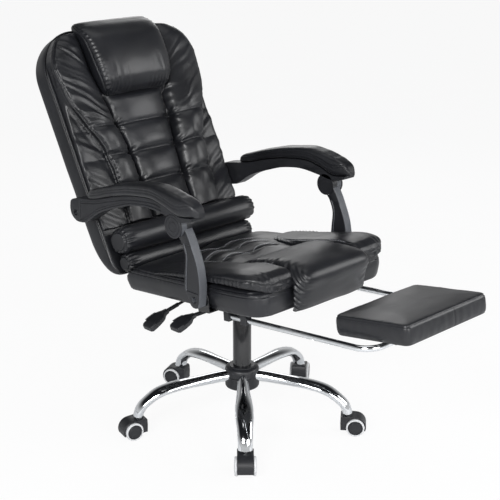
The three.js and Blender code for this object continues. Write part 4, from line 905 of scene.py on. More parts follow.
def cushion_folds(point):
    """Depth of the back cushion's seams, of the gathers beside them and of the folds on its wings."""
    side = abs(point.x)
    border = cushion_border(point.z)
    channel = cushion_channel(point.z)
    if -point.y < CUSHION_BASE + 8:
        return 0
    if side > border + 2:
        lower = clamp((430 - point.z) / 120) * clamp((side - border) / 8)
        return 2.4 * crease(point.z / 21 - side / 34, point.y / 60, 29) * lower
    depth = 0.0
    inside = clamp((border - side) / 8)
    for seam in SEAM_HEIGHTS:
        away = point.z - seam
        depth -= (2.6 * bump(away, 1.7) + 1.6 * bump(away, 7)) * inside
        knot = math.hypot(away, side - channel)
        depth -= 5.0 * bump(knot, 9)
        turn = math.atan2(away, side - channel)
        depth += 1.7 * math.cos(turn * 7 + seam) * bump(knot - 17, 9)
        near_border = bump(border - side, 20) * bump(away, 16)
        depth += 1.3 * math.cos(away / 2.3) * near_border
    if point.z < HEAD["foot"] + 8:
        away = side - channel
        depth -= 3.6 * bump(away, 2.6)
        depth += 0.9 * crease(point.z / 13, away / 60, 11) * bump(abs(away) - 9, 9)
    if point.z > SEAM_HEIGHTS[-1] + 6 and side > channel:
        depth += wing_folds(point, side, border, channel)
    elif side > channel + 8:
        depth += 0.9 * crease((point.z * 0.6 + side) / 30, side / 90, 31) * clamp((border - side) / 20)
    if side < channel - 10:
        depth += 0.7 * crease(point.x / 70, point.z / 36, 33)
    away = side - (border - 3)
    depth -= 2.2 * bump(away, 1.8)
    depth += 0.8 * crease(point.z / 7, away / 30, 17) * bump(away, 8)
    return depth


def wing_folds(point, side, border, channel):
    """Long slanting folds between the headrest and the border, softer on the sitter's left."""
    reach = clamp((side - channel) / 26) * clamp((point.z - SEAM_HEIGHTS[-1]) / 30)
    slant = point.z - 0.62 * side
    wave = math.sin(slant / 4.6 + 2.2 * crease(slant / 46, side / 60, 23))
    strength = (0.5 + 0.6 * crease(slant / 34, point.x / 300, 25)) * (0.45 if point.x > 0 else 1)
    spread = 0.35 + 0.65 * bump(border - side - 30, 55)
    return 2.6 * wave * strength * reach * clamp((border - side) / 14) * spread


def back_trim(skin):
    """Binding along the border of the back cushion, and stitches beside its seams."""
    rows = []
    for side, sign in SIDES:
        line = []
        for share in shares(120):
            height = mix(CUSHION_FOOT + 60, BACK_TOP * 0.95, share)
            across, depth = cushion_section(height)[BORDER_POINT]
            line.append(BACK_PLACE @ Vector((sign * (across + 0.5), -depth - 3, height)))
        laid = on_skin(skin, line, 0.4)
        binding = [BACK_PLACE.inverted() @ spot for spot, _ in laid]
        drawn_tube(f"cushion_binding_{side}", binding, BINDING_RADIUS, BACK_PLACE, "back")
        rows.append([spot + normal * 1.8 * MM for spot, normal in laid])
    stitches("binding_stitches", skin, rows, "back", pitch=5, length=4.6, lift=2.0)
    rows = []
    for seam in SEAM_HEIGHTS:
        border = cushion_border(seam)
        channel = cushion_channel(seam)
        for low, high in ((-border + 8, -channel - 8), (-channel + 8, channel - 8), (channel + 8, border - 8)):
            line = [Vector((mix(low, high, share), -130, seam + 2.8)) for share in shares(60)]
            rows.append([met_from(skin, BACK_PLACE, point, Vector((0, -90, 0))) for point in line])
    stitches("back_stitches", skin, rows, "back", pitch=4.5)


# Headrest pillow: strapped on over the head end, with a gathered rim
HEAD = {"foot": 454, "top": 675, "half_width": 127, "depth": 64}
HEAD_WIDTH_SHARES = [
    (0, 0.78), (0.05, 0.88), (0.17, 0.95), (0.42, 1), (0.68, 1.02), (0.86, 1.04), (0.96, 1), (1, 0.88),
]
HEAD_DEPTH_SHARES = [
    (0, 0.2), (0.05, 0.55), (0.17, 0.88), (0.42, 1), (0.68, 0.93), (0.86, 0.7), (0.96, 0.4), (1, 0.12),
]


def make_headrest():
    """Domed pillow with a gathered rim, strapped on over the head end of the back cushion."""
    def rear_at(height):
        return CUSHION_HEAD_DEPTH * ease(HEAD_SHARES, height / BACK_TOP) + 1.6

    def half_width_at(up):
        return ease(HEAD_WIDTH_SHARES, up) * HEAD["half_width"]

    def depth_at(up):
        return ease(HEAD_DEPTH_SHARES, up) * HEAD["depth"]

    rings = []
    for up in slow_ends(52):
        height = mix(HEAD["foot"], HEAD["top"], up)
        section = dome(half_width_at(up), depth_at(up), 0.45, 108)
        rings.append([Vector((x, -rear_at(height) - forward, height)) for x, forward in section])
    piece = padded_skin("headrest_pad", rings)
    fill_with_air(piece, lambda p: clamp((18 - (-p.y - rear_at(p.z))) / 6), pressure=2.4, cap=6)
    refine(piece)

    def gathers(point):
        up = clamp((point.z - HEAD["foot"]) / (HEAD["top"] - HEAD["foot"]))
        forward = -point.y - rear_at(point.z)
        deep = depth_at(up)
        if forward < 1:
            return 0
        from_side = abs(half_width_at(up) - abs(point.x))
        from_foot = up * (HEAD["top"] - HEAD["foot"])
        on_face = clamp((forward - deep * 0.6) / 8)
        depth = -2.2 * bump(forward - deep * 0.55, 1.8)
        depth += 1.0 * math.cos(point.z / 1.9 + crease(point.z / 20, 0, 45)) * bump(from_side - 3, 9) * on_face
        depth += 1.0 * math.cos(point.x / 2.1 + crease(point.x / 20, 0, 46)) * bump(from_foot - 14, 11) * on_face
        depth += 1.3 * crease(point.x / 13, point.z / 80, 47) * bump(from_foot - 34, 34) * on_face
        depth += 0.5 * crease(point.x / 60, point.z / 40, 48)
        return depth

    press(piece, gathers)
    settle_pad(piece, BACK_PLACE, "back", "headrest_pillow")
    rows = []
    for lift in (0.5, 0.6):
        line = []
        for share in shares(200):
            angle = math.tau * share - math.pi / 2
            up = clamp(0.5 + 0.5 * power(math.sin(angle), 0.5), 0.01, 0.99)
            across = power(math.cos(angle), 0.5) * half_width_at(up)
            height = mix(HEAD["foot"], HEAD["top"], up)
            line.append(BACK_PLACE @ Vector((across, -rear_at(height) - depth_at(up) * lift, height)))
        rows.append(line)
    stitches("headrest_stitches", piece, rows, "back", pitch=5, length=3.4)


# Lumbar rolls: two bolsters with puckered end discs
UPPER_ROLL = {"half_length": 240, "forward": 106.5, "rise": 55.5, "half_depth": 45, "half_height": 36}
LOWER_ROLL = {"half_length": 231, "forward": 89.5, "rise": -3.2, "half_depth": 28, "half_height": 27}
ROLL_END_SHARES = [(0, 1), (0.5, 1), (0.83, 0.985), (0.93, 0.93), (0.97, 0.84), (0.988, 0.72), (1, 0.6)]


def make_roll(name, roll, node):
    """Bolster with puckered end discs."""
    inner_sizes = (0.1, 0.26, 0.42, 0.56)
    reaches = [math.sin(math.pi / 2 * step / 44) for step in range(-44, 45)]
    rings = [roll_ring(roll, -1 + 0.006 * (1 - size), size) for size in inner_sizes]
    rings += [roll_ring(roll, reach, ease(ROLL_END_SHARES, abs(reach))) for reach in reaches]
    rings += [roll_ring(roll, 1 - 0.006 * (1 - size), size) for size in reversed(inner_sizes)]
    piece = padded_skin(name, rings)
    fill_with_air(piece, lambda p: clamp((abs(p.x) - roll["half_length"] * 0.93) / 5), pressure=2.0, cap=3)
    refine(piece)

    def puckers(point):
        up = (point.z - roll["rise"]) / roll["half_height"]
        forward = (-point.y - roll["forward"]) / roll["half_depth"]
        angle = math.atan2(up, forward)
        radius = math.hypot(up, forward)
        from_end = roll["half_length"] - abs(point.x)
        side = 3 if point.x > 0 else 5
        wander = crease(math.cos(angle) * 1.5, math.sin(angle) * 1.5, side)
        pleats = math.cos(angle * 15 + wander * 2)
        depth = 2.2 * pleats * (0.6 + 0.4 * wander) * bump(from_end - 12, 15) * clamp((radius - 0.5) / 0.3)
        depth -= 2.6 * bump((radius - 0.72) * roll["half_height"], 2.0) * clamp((10 - from_end) / 6)
        depth += 0.9 * crease(point.x / 60, angle * 0.7, side + 51) * clamp(from_end / 50)
        return depth

    press(piece, puckers)
    settle_pad(piece, BACK_PLACE, "back", node)


def roll_ring(roll, reach, size):
    """Section of a roll, at a share of its half length and of its full size."""
    return [
        Vector((reach * roll["half_length"], -roll["forward"] - a, roll["rise"] + b))
        for a, b in pillow(size * roll["half_depth"], size * roll["half_height"], 0.88, 72)
    ]


# Seat cushion: a boxed cushion with a banded side and a low lip behind, under the lower roll
SEAT_REAR = 198
SEAT_FRONT = 305
SEAT_HALF_WIDTH = 246
SEAT_THICKNESS = 77
SEAT_DEPTH = SEAT_REAR + SEAT_FRONT
SEAT_WIDTH_SHARES = [
    (0, 0.93), (0.008, 0.955), (0.02, 0.978), (0.04, 0.994), (0.07, 1), (0.72, 1), (0.81, 0.995), (0.91, 0.975),
    (0.96, 0.935), (0.985, 0.885), (1, 0.81),
]
SEAT_HEIGHT_SHARES = [
    (0, 0.62), (0.012, 0.74), (0.05, 0.8), (0.056, 0.82), (0.09, 0.88), (0.16, 0.93), (0.3, 0.97), (0.42, 0.96),
    (0.5, 0.95), (0.56, 0.94), (0.72, 0.93), (0.91, 0.92), (0.96, 0.9), (1, 0.82),
]
SEAT_CROWN = 22
SEAT_CROWN_SHARES = [
    (0.09, 0.1), (0.16, 0.3), (0.3, 0.7), (0.42, 0.91), (0.5, 0.75), (0.6, 0.45), (0.72, 0.16), (0.81, 0), (1, 0),
]
# Quilting seams on one half of the seat's top, as (across, back) pairs
SEAT_TOP_SEAMS = [
    [(4, 64), (40, 78), (80, 78), (118, 66)],
    [(4, 2), (36, 20), (74, 20), (112, 4)],
    [(4, -54), (30, -36), (62, -34), (96, -46)],
]
LIP_HALF_WIDTH = 238.5
LIP_THICKNESS = 22
LIP_SHARE = 0.056
BAND_RISE = 60
BAND_WIDTH = 9
BAND_STITCH_GAP = 2.4


def seat_place_at(share):
    """Place along Y at a share of the seat's depth, from behind."""
    return SEAT_REAR - share * SEAT_DEPTH


def make_seat_cushion():
    """Boxed cushion with a banded side, crowned and quilted between the thigh pillows."""
    rows = [0, 0.004, 0.01, 0.018, 0.028, 0.04, 0.05, 0.0545, 0.06]
    rows += [mix(0.07, 0.95, share) for share in shares(96)]
    rows += [0.962, 0.972, 0.982, 0.99, 0.996, 1]
    rings = [seat_ring(share) for share in rows]
    for share in (0.8, 0.5, 0.2):
        rings.insert(0, seat_end_ring(rings[0], share))
        rings.append(seat_end_ring(rings[-1], share))
    piece = padded_skin("seat_cushion_pad", rings)
    refine(piece)
    press(piece, seat_seams)
    settle_pad(piece, SEAT_PLACE, "seat", "seat_cushion")
    rows = []
    for _, sign in SIDES:
        for rise in (BAND_RISE + BAND_STITCH_GAP, BAND_RISE - BAND_WIDTH - BAND_STITCH_GAP):
            line = []
            for step in shares(240):
                share = mix(0.07, 1, step)
                line.append((sign * ease(SEAT_WIDTH_SHARES, share) * SEAT_HALF_WIDTH, seat_place_at(share), rise))
            line += [(sign * mix(206, 128, share), -SEAT_FRONT - 3, rise) for share in shares(30)]
            rows.append(in_place(SEAT_PLACE, line))
    stitches("seat_band_stitches", piece, rows, "seat", pitch=4.6)
    rows = []
    for _, sign in SIDES:
        for seam in SEAT_TOP_SEAMS:
            line = smooth_line([Vector((sign * x, y, 100)) for x, y in seam], 80)
            rows.append([on_top(piece, point + Vector((0, 8, 0))) for point in line])
    stitches("seat_top_stitches", piece, rows, "seat", **PALE_ROW)


def seat_ring(share):
    """Section of the seat cushion at a share of its depth from behind."""
    width = ease(SEAT_WIDTH_SHARES, share) * SEAT_HALF_WIDTH
    height = ease(SEAT_HEIGHT_SHARES, share) * SEAT_THICKNESS
    crown = ease(SEAT_CROWN_SHARES, share) * SEAT_CROWN
    ring = []
    for x, z in dome(width, height, 0.3, 150):
        hump = max(0.0, 1 - (x / 150) ** 2) ** 1.5
        rise = z + crown * hump if z > 30 else z
        if share < LIP_SHARE and abs(x) < LIP_HALF_WIDTH:
            rise = min(rise, LIP_THICKNESS)
        tuck = 7 * clamp((13 - z) / 13) ** 2
        back = tuck * (bump(share, 0.03) - bump(1 - share, 0.03))
        ring.append(Vector((x - math.copysign(min(tuck, abs(x)), x), seat_place_at(share) - back, rise)))
    return ring


def on_top(skin, point):
    """The place on a skin of the seat straight below a point in the seat's frame, in metres."""
    return met_from(skin, SEAT_PLACE, point, Vector((0, 0, 100)))


def seat_seams(point):
    """Depth of the seat's band seams, its quilting seams and its soft wrinkles."""
    side = abs(point.x)
    depth = 0.0
    if point.z > 4 and (side > 200 or point.y < -268):
        for row in (BAND_RISE, BAND_RISE - BAND_WIDTH):
            depth -= 1.7 * bump(point.z - row, 1.5)
        run = point.y if side > 236 else point.x + point.y
        depth += 0.55 * crease(run / 9, point.z / 40, 61) * bump(point.z - BAND_RISE + 4, 12)
        depth += 0.9 * math.cos(run / 2.7) * bump(point.z - BAND_RISE - 4, 5) * bump(point.y + 300, 60)
    if 6 < point.z < BAND_RISE - 12:
        depth += 0.6 * crease((point.x - point.y) / 70, point.z / 60, 71)
    if point.z < BAND_RISE or side > 214:
        return depth
    depth -= (5 * bump(point.x, 3.4) + 3 * bump(point.x, 16)) * clamp((point.y + 90) / 30)
    for seam in SEAT_TOP_SEAMS:
        away = seam_distance(side, point.y, seam)
        depth -= 3.6 * bump(away, 2.6) + 3.0 * bump(away, 13)
        depth += 0.7 * crease(side / 12, point.y / 12, 63) * bump(away - 8, 8)
    depth += 0.8 * crease(point.x / 50, point.y / 34, 67)
    return depth


def seam_distance(x, y, seam):
    """Distance in the plane from a place to the straight pieces of a seam."""
    nearest = 1000.0
    for (x0, y0), (x1, y1) in zip(seam, seam[1:]):
        span = (x1 - x0) ** 2 + (y1 - y0) ** 2
        share = clamp(((x - x0) * (x1 - x0) + (y - y0) * (y1 - y0)) / span)
        nearest = min(nearest, math.hypot(x - mix(x0, x1, share), y - mix(y0, y1, share)))
    return nearest


def seat_end_ring(ring, share):
    """An end ring of the seat drawn in towards its middle, in its own plane."""
    top = max(point.z for point in ring)
    middle = Vector((0, ring[0].y, top * 0.45))
    return [middle + (point - middle) * share for point in ring]


# Thigh pillows: along the seat's sides, thicker towards the front, with a gathered front end
PILLOW = {"inner": 119, "outer": 250, "rear": 62, "front": 314, "top": 111}
PILLOW_SEAM_SHARE = 0.84
PILLOW_WIDTH_SHARES = [
    (0, 0.3), (0.05, 0.62), (0.15, 0.86), (0.35, 1), (0.8, 1), (0.88, 0.96), (0.94, 0.88), (0.98, 0.75), (1, 0.58),
]
PILLOW_TOP_SHARES = [
    (0, 0.6), (0.05, 0.66), (0.2, 0.74), (0.4, 0.82), (0.6, 0.91), (0.8, 0.99), (0.92, 0.975), (0.98, 0.88),
    (1, 0.78),
]


def seat_top_at(y):
    """Height of the seat's side at a place along Y."""
    return ease(SEAT_HEIGHT_SHARES, clamp((SEAT_REAR - y) / SEAT_DEPTH)) * SEAT_THICKNESS


def pillow_place_at(share):
    """Place along Y at a share of a thigh pillow's length, from behind."""
    return PILLOW["rear"] - share * (PILLOW["rear"] + PILLOW["front"])


def pillow_half_width(share):
    """Half width of a thigh pillow at a share of its length."""
    return ease(PILLOW_WIDTH_SHARES, share) * (PILLOW["outer"] - PILLOW["inner"]) / 2


def pillow_centre(share):
    """Middle of a thigh pillow: it narrows from its inner side behind, and from its outer side in front."""
    half = pillow_half_width(share)
    return mix(PILLOW["outer"] - half, PILLOW["inner"] + half, clamp((share - 0.35) / 0.3))


def make_thigh_pillow(side, sign):
    """Wedge-shaped pillow: a thin tail behind, a boxed and gathered band round its front."""
    rings = []
    for share in slow_ends(89):
        y = pillow_place_at(share)
        foot = seat_top_at(y) - 3 - 9 * clamp(1 - share / 0.4)
        half_height = (ease(PILLOW_TOP_SHARES, share) * PILLOW["top"] - foot) / 2
        half = pillow_half_width(share)
        centre = pillow_centre(share)
        ring = []
        for x, z in pillow(half, half_height, 0.62, 96):
            if x < 0:
                x = -half * abs(x / half) ** 0.45
            ring.append(Vector((sign * (centre + x), y, foot + half_height + z)))
        rings.append(ring)
    piece = padded_skin(f"thigh_pillow_{side}_pad", rings)

    def sewn(point):
        return 1 if point.z < seat_top_at(point.y) + 14 or point.y > 0 else bump(point.y + PILLOW["front"], 12)

    fill_with_air(piece, sewn, pressure=1.6, cap=4)
    refine(piece)

    def gathers(point):
        share = clamp((PILLOW["rear"] - point.y) / (PILLOW["rear"] + PILLOW["front"]))
        across = sign * point.x - pillow_centre(share)
        foot = seat_top_at(point.y)
        top = ease(PILLOW_TOP_SHARES, share) * PILLOW["top"]
        band = foot + 0.44 * (top - foot)
        width = pillow_half_width(share)
        on_edge = clamp((abs(across) - width + 16) / 8) + clamp((-point.y - PILLOW["front"] + 20) / 8)
        on_edge = min(on_edge, 1) * clamp(share / 0.2)
        run = sign * point.x * 0.8 - point.y
        folds = math.cos(run / 2.1 + 2.2 * crease(run / 16, 0, 81 + sign))
        depth = 1.5 * folds * bump(point.z - band + 2, 9) * on_edge
        depth -= 2.0 * (bump(point.z - band - 6, 1.8) + bump(point.z - band + 12, 1.8)) * on_edge
        near_front = bump(point.y + PILLOW["front"] - 16, 20)
        depth += 1.2 * crease(sign * point.x / 9, point.y / 26, 83) * near_front
        depth += 0.7 * crease(point.y / 50, point.x / 34, 87)
        if point.z > foot + 12:
            depth -= 2.0 * bump(across + width * PILLOW_SEAM_SHARE, 2.0) * clamp(1 - near_front)
        return depth

    press(piece, gathers)
    settle_pad(piece, SEAT_PLACE, "seat", f"thigh_pillow_{side}")
    row = []
    for step in shares(160):
        share = mix(0.1, 0.86, step)
        across = pillow_centre(share) - pillow_half_width(share) * PILLOW_SEAM_SHARE
        row.append(on_top(piece, Vector((sign * across, pillow_place_at(share), 100))))
    stitches(f"thigh_stitches_{side}", piece, [row], "seat", **PALE_ROW)


# Front panel: from the seat's top over its front edge
PANEL = {"half_width": 128, "rear": 108, "top_thickness": 50, "front_thickness": 35}


def make_front_panel():
    """Waterfall panel that grows out of the seat's top, rolls over its front edge and is gathered along its sides."""
    inner_front = SEAT_FRONT + 0.8
    inner_top = BAND_RISE + 0.8
    outer_front = inner_front + PANEL["front_thickness"]
    outer_top = inner_top + PANEL["top_thickness"]
    rear = PANEL["rear"]
    outer = [(rear, 66), (rear + 8, 84), (rear + 34, 97), (rear + 76, 107), (rear + 112, outer_top + 1)]
    outer += [(262, outer_top + 3), (300, outer_top), (outer_front - 8, outer_top - 6), (outer_front + 9, 96)]
    outer += [(outer_front + 17, 82), (outer_front + 15, 68), (outer_front + 6, 52), (outer_front, 34)]
    outer += [(outer_front - 6, 12), (inner_front + 20, -4)]
    inner = [(rear, 58), (230, inner_top - 4), (264, inner_top), (inner_front - 1, inner_top)]
    inner += [(inner_front, inner_top - 1), (inner_front, 30), (inner_front, -4)]
    lines = [smooth_line([Vector((0, -y, z)) for y, z in line], 104) for line in (outer, inner)]
    rings = []
    for out, back in zip(*lines):
        ring = []
        for share in shares(56):
            across = -power(math.cos(math.pi * share), 0.7)
            fall = max(0.0, 1 - abs(across) ** (14 if -out.y < 240 else 8)) ** 0.5
            point = back.lerp(out, mix(0.22, 1, fall))
            ring.append(Vector((across * PANEL["half_width"], point.y, point.z)))
        ring += [Vector((mix(1, -1, step / 14) * PANEL["half_width"], back.y, back.z)) for step in range(1, 14)]
        rings.append(ring)
    piece = padded_skin("front_panel_pad", rings)

    def is_inner(point):
        return -point.y < inner_front + 4 and point.z < inner_top + 4

    def sewn(point):
        return 1 if is_inner(point) or -point.y < rear + 50 else bump(PANEL["half_width"] - abs(point.x), 9)

    fill_with_air(piece, sewn, pressure=1.6, cap=4)
    refine(piece)

    def gathers(point):
        if is_inner(point):
            return 0
        from_side = PANEL["half_width"] - abs(point.x)
        path = point.z - point.y
        side = 91 if point.x > 0 else 93
        wander = crease(path / 26, 0.3, side)
        folds = math.cos(path / 2.5 + 2.4 * wander) * (0.7 + 0.5 * crease(path / 15, 2.0, side))
        depth = 2.2 * folds * bump(from_side - 3, 10)
        depth += 1.6 * crease(path / 12, point.x / 90, side + 1) * bump(from_side - 14, 16)
        depth += 0.9 * crease(point.x / 70, path / 60, 97)
        return depth

    press(piece, gathers)
    settle_pad(piece, SEAT_PLACE, "seat", "seat_front_panel")


# Footrest cushion: a boxed pad with sewn edges
FOOT = {"half_width": 152, "rear": 131, "front": 85, "lift": 11.5, "thickness": 50, "corner": 14}
# Layers of the pad as (share of its thickness, inset) pairs, from the middle of its foot to the middle of its top
FOOT_LAYERS = [
    (0.02, 80), (0.01, 40), (0, 16), (0, 5), (0.03, 1.6), (0.1, 0.4), (0.25, -0.9), (0.5, -1.6), (0.75, -0.9),
    (0.86, 0.1), (0.93, 1.2), (0.97, 3), (1.0, 6), (1.015, 12), (1.035, 24), (1.06, 44), (1.075, 66), (1.08, 90),
]


def foot_outline(inset, corner):
    """Outline of the footrest's pad seen from above, drawn in by inset."""
    half = FOOT["half_width"] - inset - corner
    rear = FOOT["rear"] - inset - corner
    front = -FOOT["front"] + inset + corner
    spots = rounded_corners([
        (half, front, corner, -90), (half, rear, corner, 0), (-half, rear, corner, 90), (-half, front, corner, 180),
    ], 9)
    return evenly([Vector((x, y, 0)) for x, y in spots], 176)


def make_footrest_cushion():
    """Firm boxed pad with a seam round its top and its foot."""
    rings = []
    for rise, inset in FOOT_LAYERS:
        height = FOOT["lift"] + rise * FOOT["thickness"]
        outline = foot_outline(inset, max(FOOT["corner"] - inset * 0.3, 5))
        rings.append([point + Vector((0, 0, height)) for point in outline])
    piece = padded_skin("footrest_pad", rings)
    refine(piece)
    top = FOOT["lift"] + FOOT["thickness"] * 0.9
    foot = FOOT["lift"] + FOOT["thickness"] * 0.08

    def seams(point):
        inside = min(FOOT["half_width"] - abs(point.x), FOOT["rear"] - point.y, FOOT["front"] + point.y)
        depth = -1.5 * bump(point.z - top, 1.4) - 1.2 * bump(point.z - foot, 1.5)
        if inside < 3:
            depth -= 1.3 * bump(abs(point.x) - FOOT["half_width"] * 0.97, 1.5)
            depth -= 1.4 * bump(point.x - 20, 1.4) * clamp(-point.y / 40)
            depth += 0.4 * crease((point.x + point.y) / 14, point.z / 24, 101)
        if point.z > top:
            depth += 0.6 * crease(point.x / 60, point.y / 50, 103)
            depth += 0.5 * crease((point.x + point.y) / 9, 1, 107) * bump(inside, 8)
        return depth

    press(piece, seams)
    settle_pad(piece, FOOT_PLACE, "footrest_pad", "footrest_cushion")
    rim = evenly(foot_outline(-1, FOOT["corner"]), 420)
    rows = [in_place(FOOT_PLACE, [point + Vector((0, 0, top + lift)) for point in rim]) for lift in (3.4, -3.4)]
    stitches("footrest_stitches", piece, rows, "footrest_pad", pitch=4.4)


# Arm pads, drawn level like the rails and posts from the pivot at each post's foot
POST_LEAN = 60
POST_RISE = 178
RAIL_TOP_SHARES = [
    (-0.05, 1.19), (0.185, 1.163), (0.455, 1.247), (0.733, 1.303), (1.2, 1.258), (1.62, 1.163), (2.09, 1.028),
    (2.5, 0.96), (2.63, 0.925), (2.67, 0.87), (2.68, 0.8),
]
RAIL_FOOT_SHARES = [
    (-0.05, 1.15), (0, 1.13), (0.2, 1.09), (0.46, 1.124), (0.843, 1.157), (1.208, 1.112), (1.59, 0.994),
    (1.983, 0.837), (2.2, 0.69), (2.34, 0.615), (2.5, 0.6), (2.61, 0.65), (2.665, 0.72), (2.68, 0.78),
]
RAIL_TOP = [(along * POST_RISE, top * POST_RISE) for along, top in RAIL_TOP_SHARES]
# Rows of the pad from behind: share of its length, inner side, outer side, thickness
ARM_PAD_ROWS = [
    (0, 0.28, 0.62, 0.3), (0.02, 0.16, 0.8, 0.56), (0.07, 0.06, 0.96, 0.76), (0.18, 0, 1, 0.84), (0.34, 0, 1, 0.88),
    (0.46, 0, 1, 0.93), (0.58, 0, 1, 1), (0.7, 0, 0.99, 1.13), (0.76, 0, 0.98, 1.25), (0.8, 0, 0.97, 1.34),
    (0.84, 0, 0.95, 1.43), (0.88, 0.01, 0.91, 1.4), (0.92, 0.03, 0.85, 1.22), (0.97, 0.1, 0.74, 0.85),
    (1, 0.2, 0.56, 0.42),
]
ARM_PAD = {"inner": 251.3, "outer": 308, "rear": 404, "front": 22, "thickness": 35, "lift": 0.3}
ARM_SEAM_SHARE = 0.66


def make_arm_pad(side, sign):
    """Firm pad on an arm rail, thickest over its front end."""
    middle = (ARM_PAD["inner"] + ARM_PAD["outer"]) / 2

    def row_value(column, along):
        return ease([(row[0], row[column]) for row in ARM_PAD_ROWS], along)

    def thickness_at(along):
        return row_value(3, along) * ARM_PAD["thickness"]

    def foot_at(y):
        return ease(RAIL_TOP, y) + ARM_PAD["lift"]

    def place_at(along):
        return mix(ARM_PAD["rear"], -ARM_PAD["front"], along)

    rings = []
    for along in slow_ends(89):
        thick = thickness_at(along)
        y = place_at(along)
        x0 = mix(ARM_PAD["inner"], ARM_PAD["outer"], row_value(1, along))
        x1 = mix(ARM_PAD["inner"], ARM_PAD["outer"], row_value(2, along))
        ring = pillow((x1 - x0) / 2, thick / 2, 0.55, 84)
        rings.append([Vector((sign * ((x0 + x1) / 2 + a), y, foot_at(y) + thick / 2 + b)) for a, b in ring])
    piece = padded_skin(f"arm_pad_{side}_leather", rings)
    refine(piece)

    # Here along counts the pad's rings, which lie closer together at both ends
    def seams(point, along):
        above_seam = point.z - foot_at(point.y) - thickness_at(along) * ARM_SEAM_SHARE
        aside = clamp((abs(sign * point.x - middle) - 14) / 8) * clamp((1 - along) / 0.2)
        depth = -1.3 * (bump(above_seam, 1.3) + bump(above_seam + 7, 1.3)) * aside
        depth += 0.5 * crease(point.y / 12, 0.5, 113) * bump(above_seam + 3, 8) * aside
        depth += 0.5 * crease(point.y / 50, point.x / 26, 117)
        return depth

    press(piece, seams, [spot.value for spot in piece.data.attributes["along"].data])
    settle_pad(piece, ARM_PLACE, f"arm_upper_{side}", f"arm_pad_{side}")
    rows = []
    for edge in (34, -34):
        line = []
        for share in shares(200):
            along = mix(0.04, 0.96, share)
            y = place_at(along)
            line.append((sign * (middle + edge), y, foot_at(y) + thickness_at(along) * ARM_SEAM_SHARE + 3))
        rows.append(in_place(ARM_PLACE, line))
    stitches(f"arm_stitches_{side}", piece, rows, f"arm_upper_{side}", pitch=4.4)


# Base: star, hub covers, gas lift and castors
CASTOR_CIRCLE = 300
LEG_ANGLES = [math.radians(11.3 + 72 * leg) for leg in range(5)]
LEG_TIP_HEIGHT = 60
LEG_CROWN_HEIGHT = 137
LEG_WIDTH = 48
LEG_LINE = [
    (0.09, 1), (0.23, 1), (0.4, 0.96), (0.55, 0.93), (0.68, 0.87), (0.8, 0.75), (0.89, 0.54), (0.965, 0.27),
    (1, -0.1),
]
LEG_WIDTHS = [
    (0.09, 0.35), (0.23, 0.34), (0.4, 0.37), (0.55, 0.44), (0.68, 0.5), (0.8, 0.49), (0.89, 0.43), (1, 0.39),
]
LEG_DEPTHS = [(0.09, 0.34), (0.23, 0.31), (0.4, 0.29), (0.55, 0.27), (0.68, 0.26), (1, 0.26)]
CASTOR_TURNS = [38, 115, 165.5, -134, -50]
CASTOR_TRAIL = 20
WHEEL_RADIUS = 25
# Profiles of turned parts as (radius, height) pairs
HUB_COVER_TOP = [
    (40, 137.3), (46.4, 137.3), (47, 138), (47, 152), (46.3, 156), (44, 159.6), (40.5, 161.8), (37, 162.6),
    (36.4, 163.2), (36.2, 165), (35, 166), (25.4, 166),
]
HUB_COVER_FOOT = [(30, 103), (42, 103), (45.4, 104.2), (46.8, 107), (47, 110), (47, 136), (46.3, 136.7), (40, 136.7)]
LIFT_TUBE = [(24.2, 101), (25, 102), (25, 322), (24.4, 323), (24.4, 327.4), (23.6, 329.2), (22, 330), (15, 330)]
CASTOR_TREAD = [
    (10, 18.7), (22.6, 18.7), (24.4, 19.6), (25, 21.4), (25, 25.2), (24.5, 27), (23.4, 28), (21.4, 28), (20.6, 27.4),
    (20.4, 26),
]
CASTOR_CAP = [(20.2, 22), (20.2, 27), (19.4, 28), (17.6, 28.3), (17.1, 27.7), (16.2, 27.7), (15.6, 28.4), (1, 28.9)]
CASTOR_STEM = [
    (5.5, 48.3), (5.5, 56.4), (8.2, 56.4), (9, 57), (9, 59), (8.2, 59.8), (5.5, 59.8), (5.5, 72), (4.8, 73),
]


def make_star_base():
    """Five oval chrome tubes bent down to their castors, welded round a short hub tube."""
    spots = smooth_line([Vector((reach, rise, 0)) for reach, rise in LEG_LINE], 26)
    line = [Vector((spot.x * CASTOR_CIRCLE, 0, mix(LEG_TIP_HEIGHT, LEG_CROWN_HEIGHT, spot.y))) for spot in spots]
    widths = [ease(LEG_WIDTHS, spot.x) * LEG_WIDTH for spot in spots]
    depths = [ease(LEG_DEPTHS, spot.x) * LEG_WIDTH for spot in spots]
    leg = swept("leg", line, widths, depths, 36)
    shaping(leg)
    bpy.ops.mesh.bisect(plane_co=(0, 0, LEG_TIP_HEIGHT), plane_no=(0, 0, 1), clear_inner=True, use_fill=True)
    finished(leg)
    hub = turned("star_base_chrome", [(32, 100), (33, 101), (33, 157), (32, 158), (26, 158)])
    legs = [copied(leg, f"leg_{number}", Matrix.Rotation(angle, 4, "Z")) for number, angle in enumerate(LEG_ANGLES)]
    bpy.data.objects.remove(leg)
    star = joined("star_base_chrome", hub, *legs)
    settle(star, FLOOR_PLACE, [chrome], "base", ["base_star"])
    for name, profile, node in (
        ("hub_cover_top", HUB_COVER_TOP, "hub_cover_upper"), ("hub_cover_foot", HUB_COVER_FOOT, "hub_cover_lower"),
    ):
        settle(turned(name, profile), FLOOR_PLACE, [black_plastic], "base", [node])
    tube = turned("gas_lift_tube", LIFT_TUBE, 64)
    settle(tube, FLOOR_PLACE, [black_steel], "base", ["lift_outer_tube"])


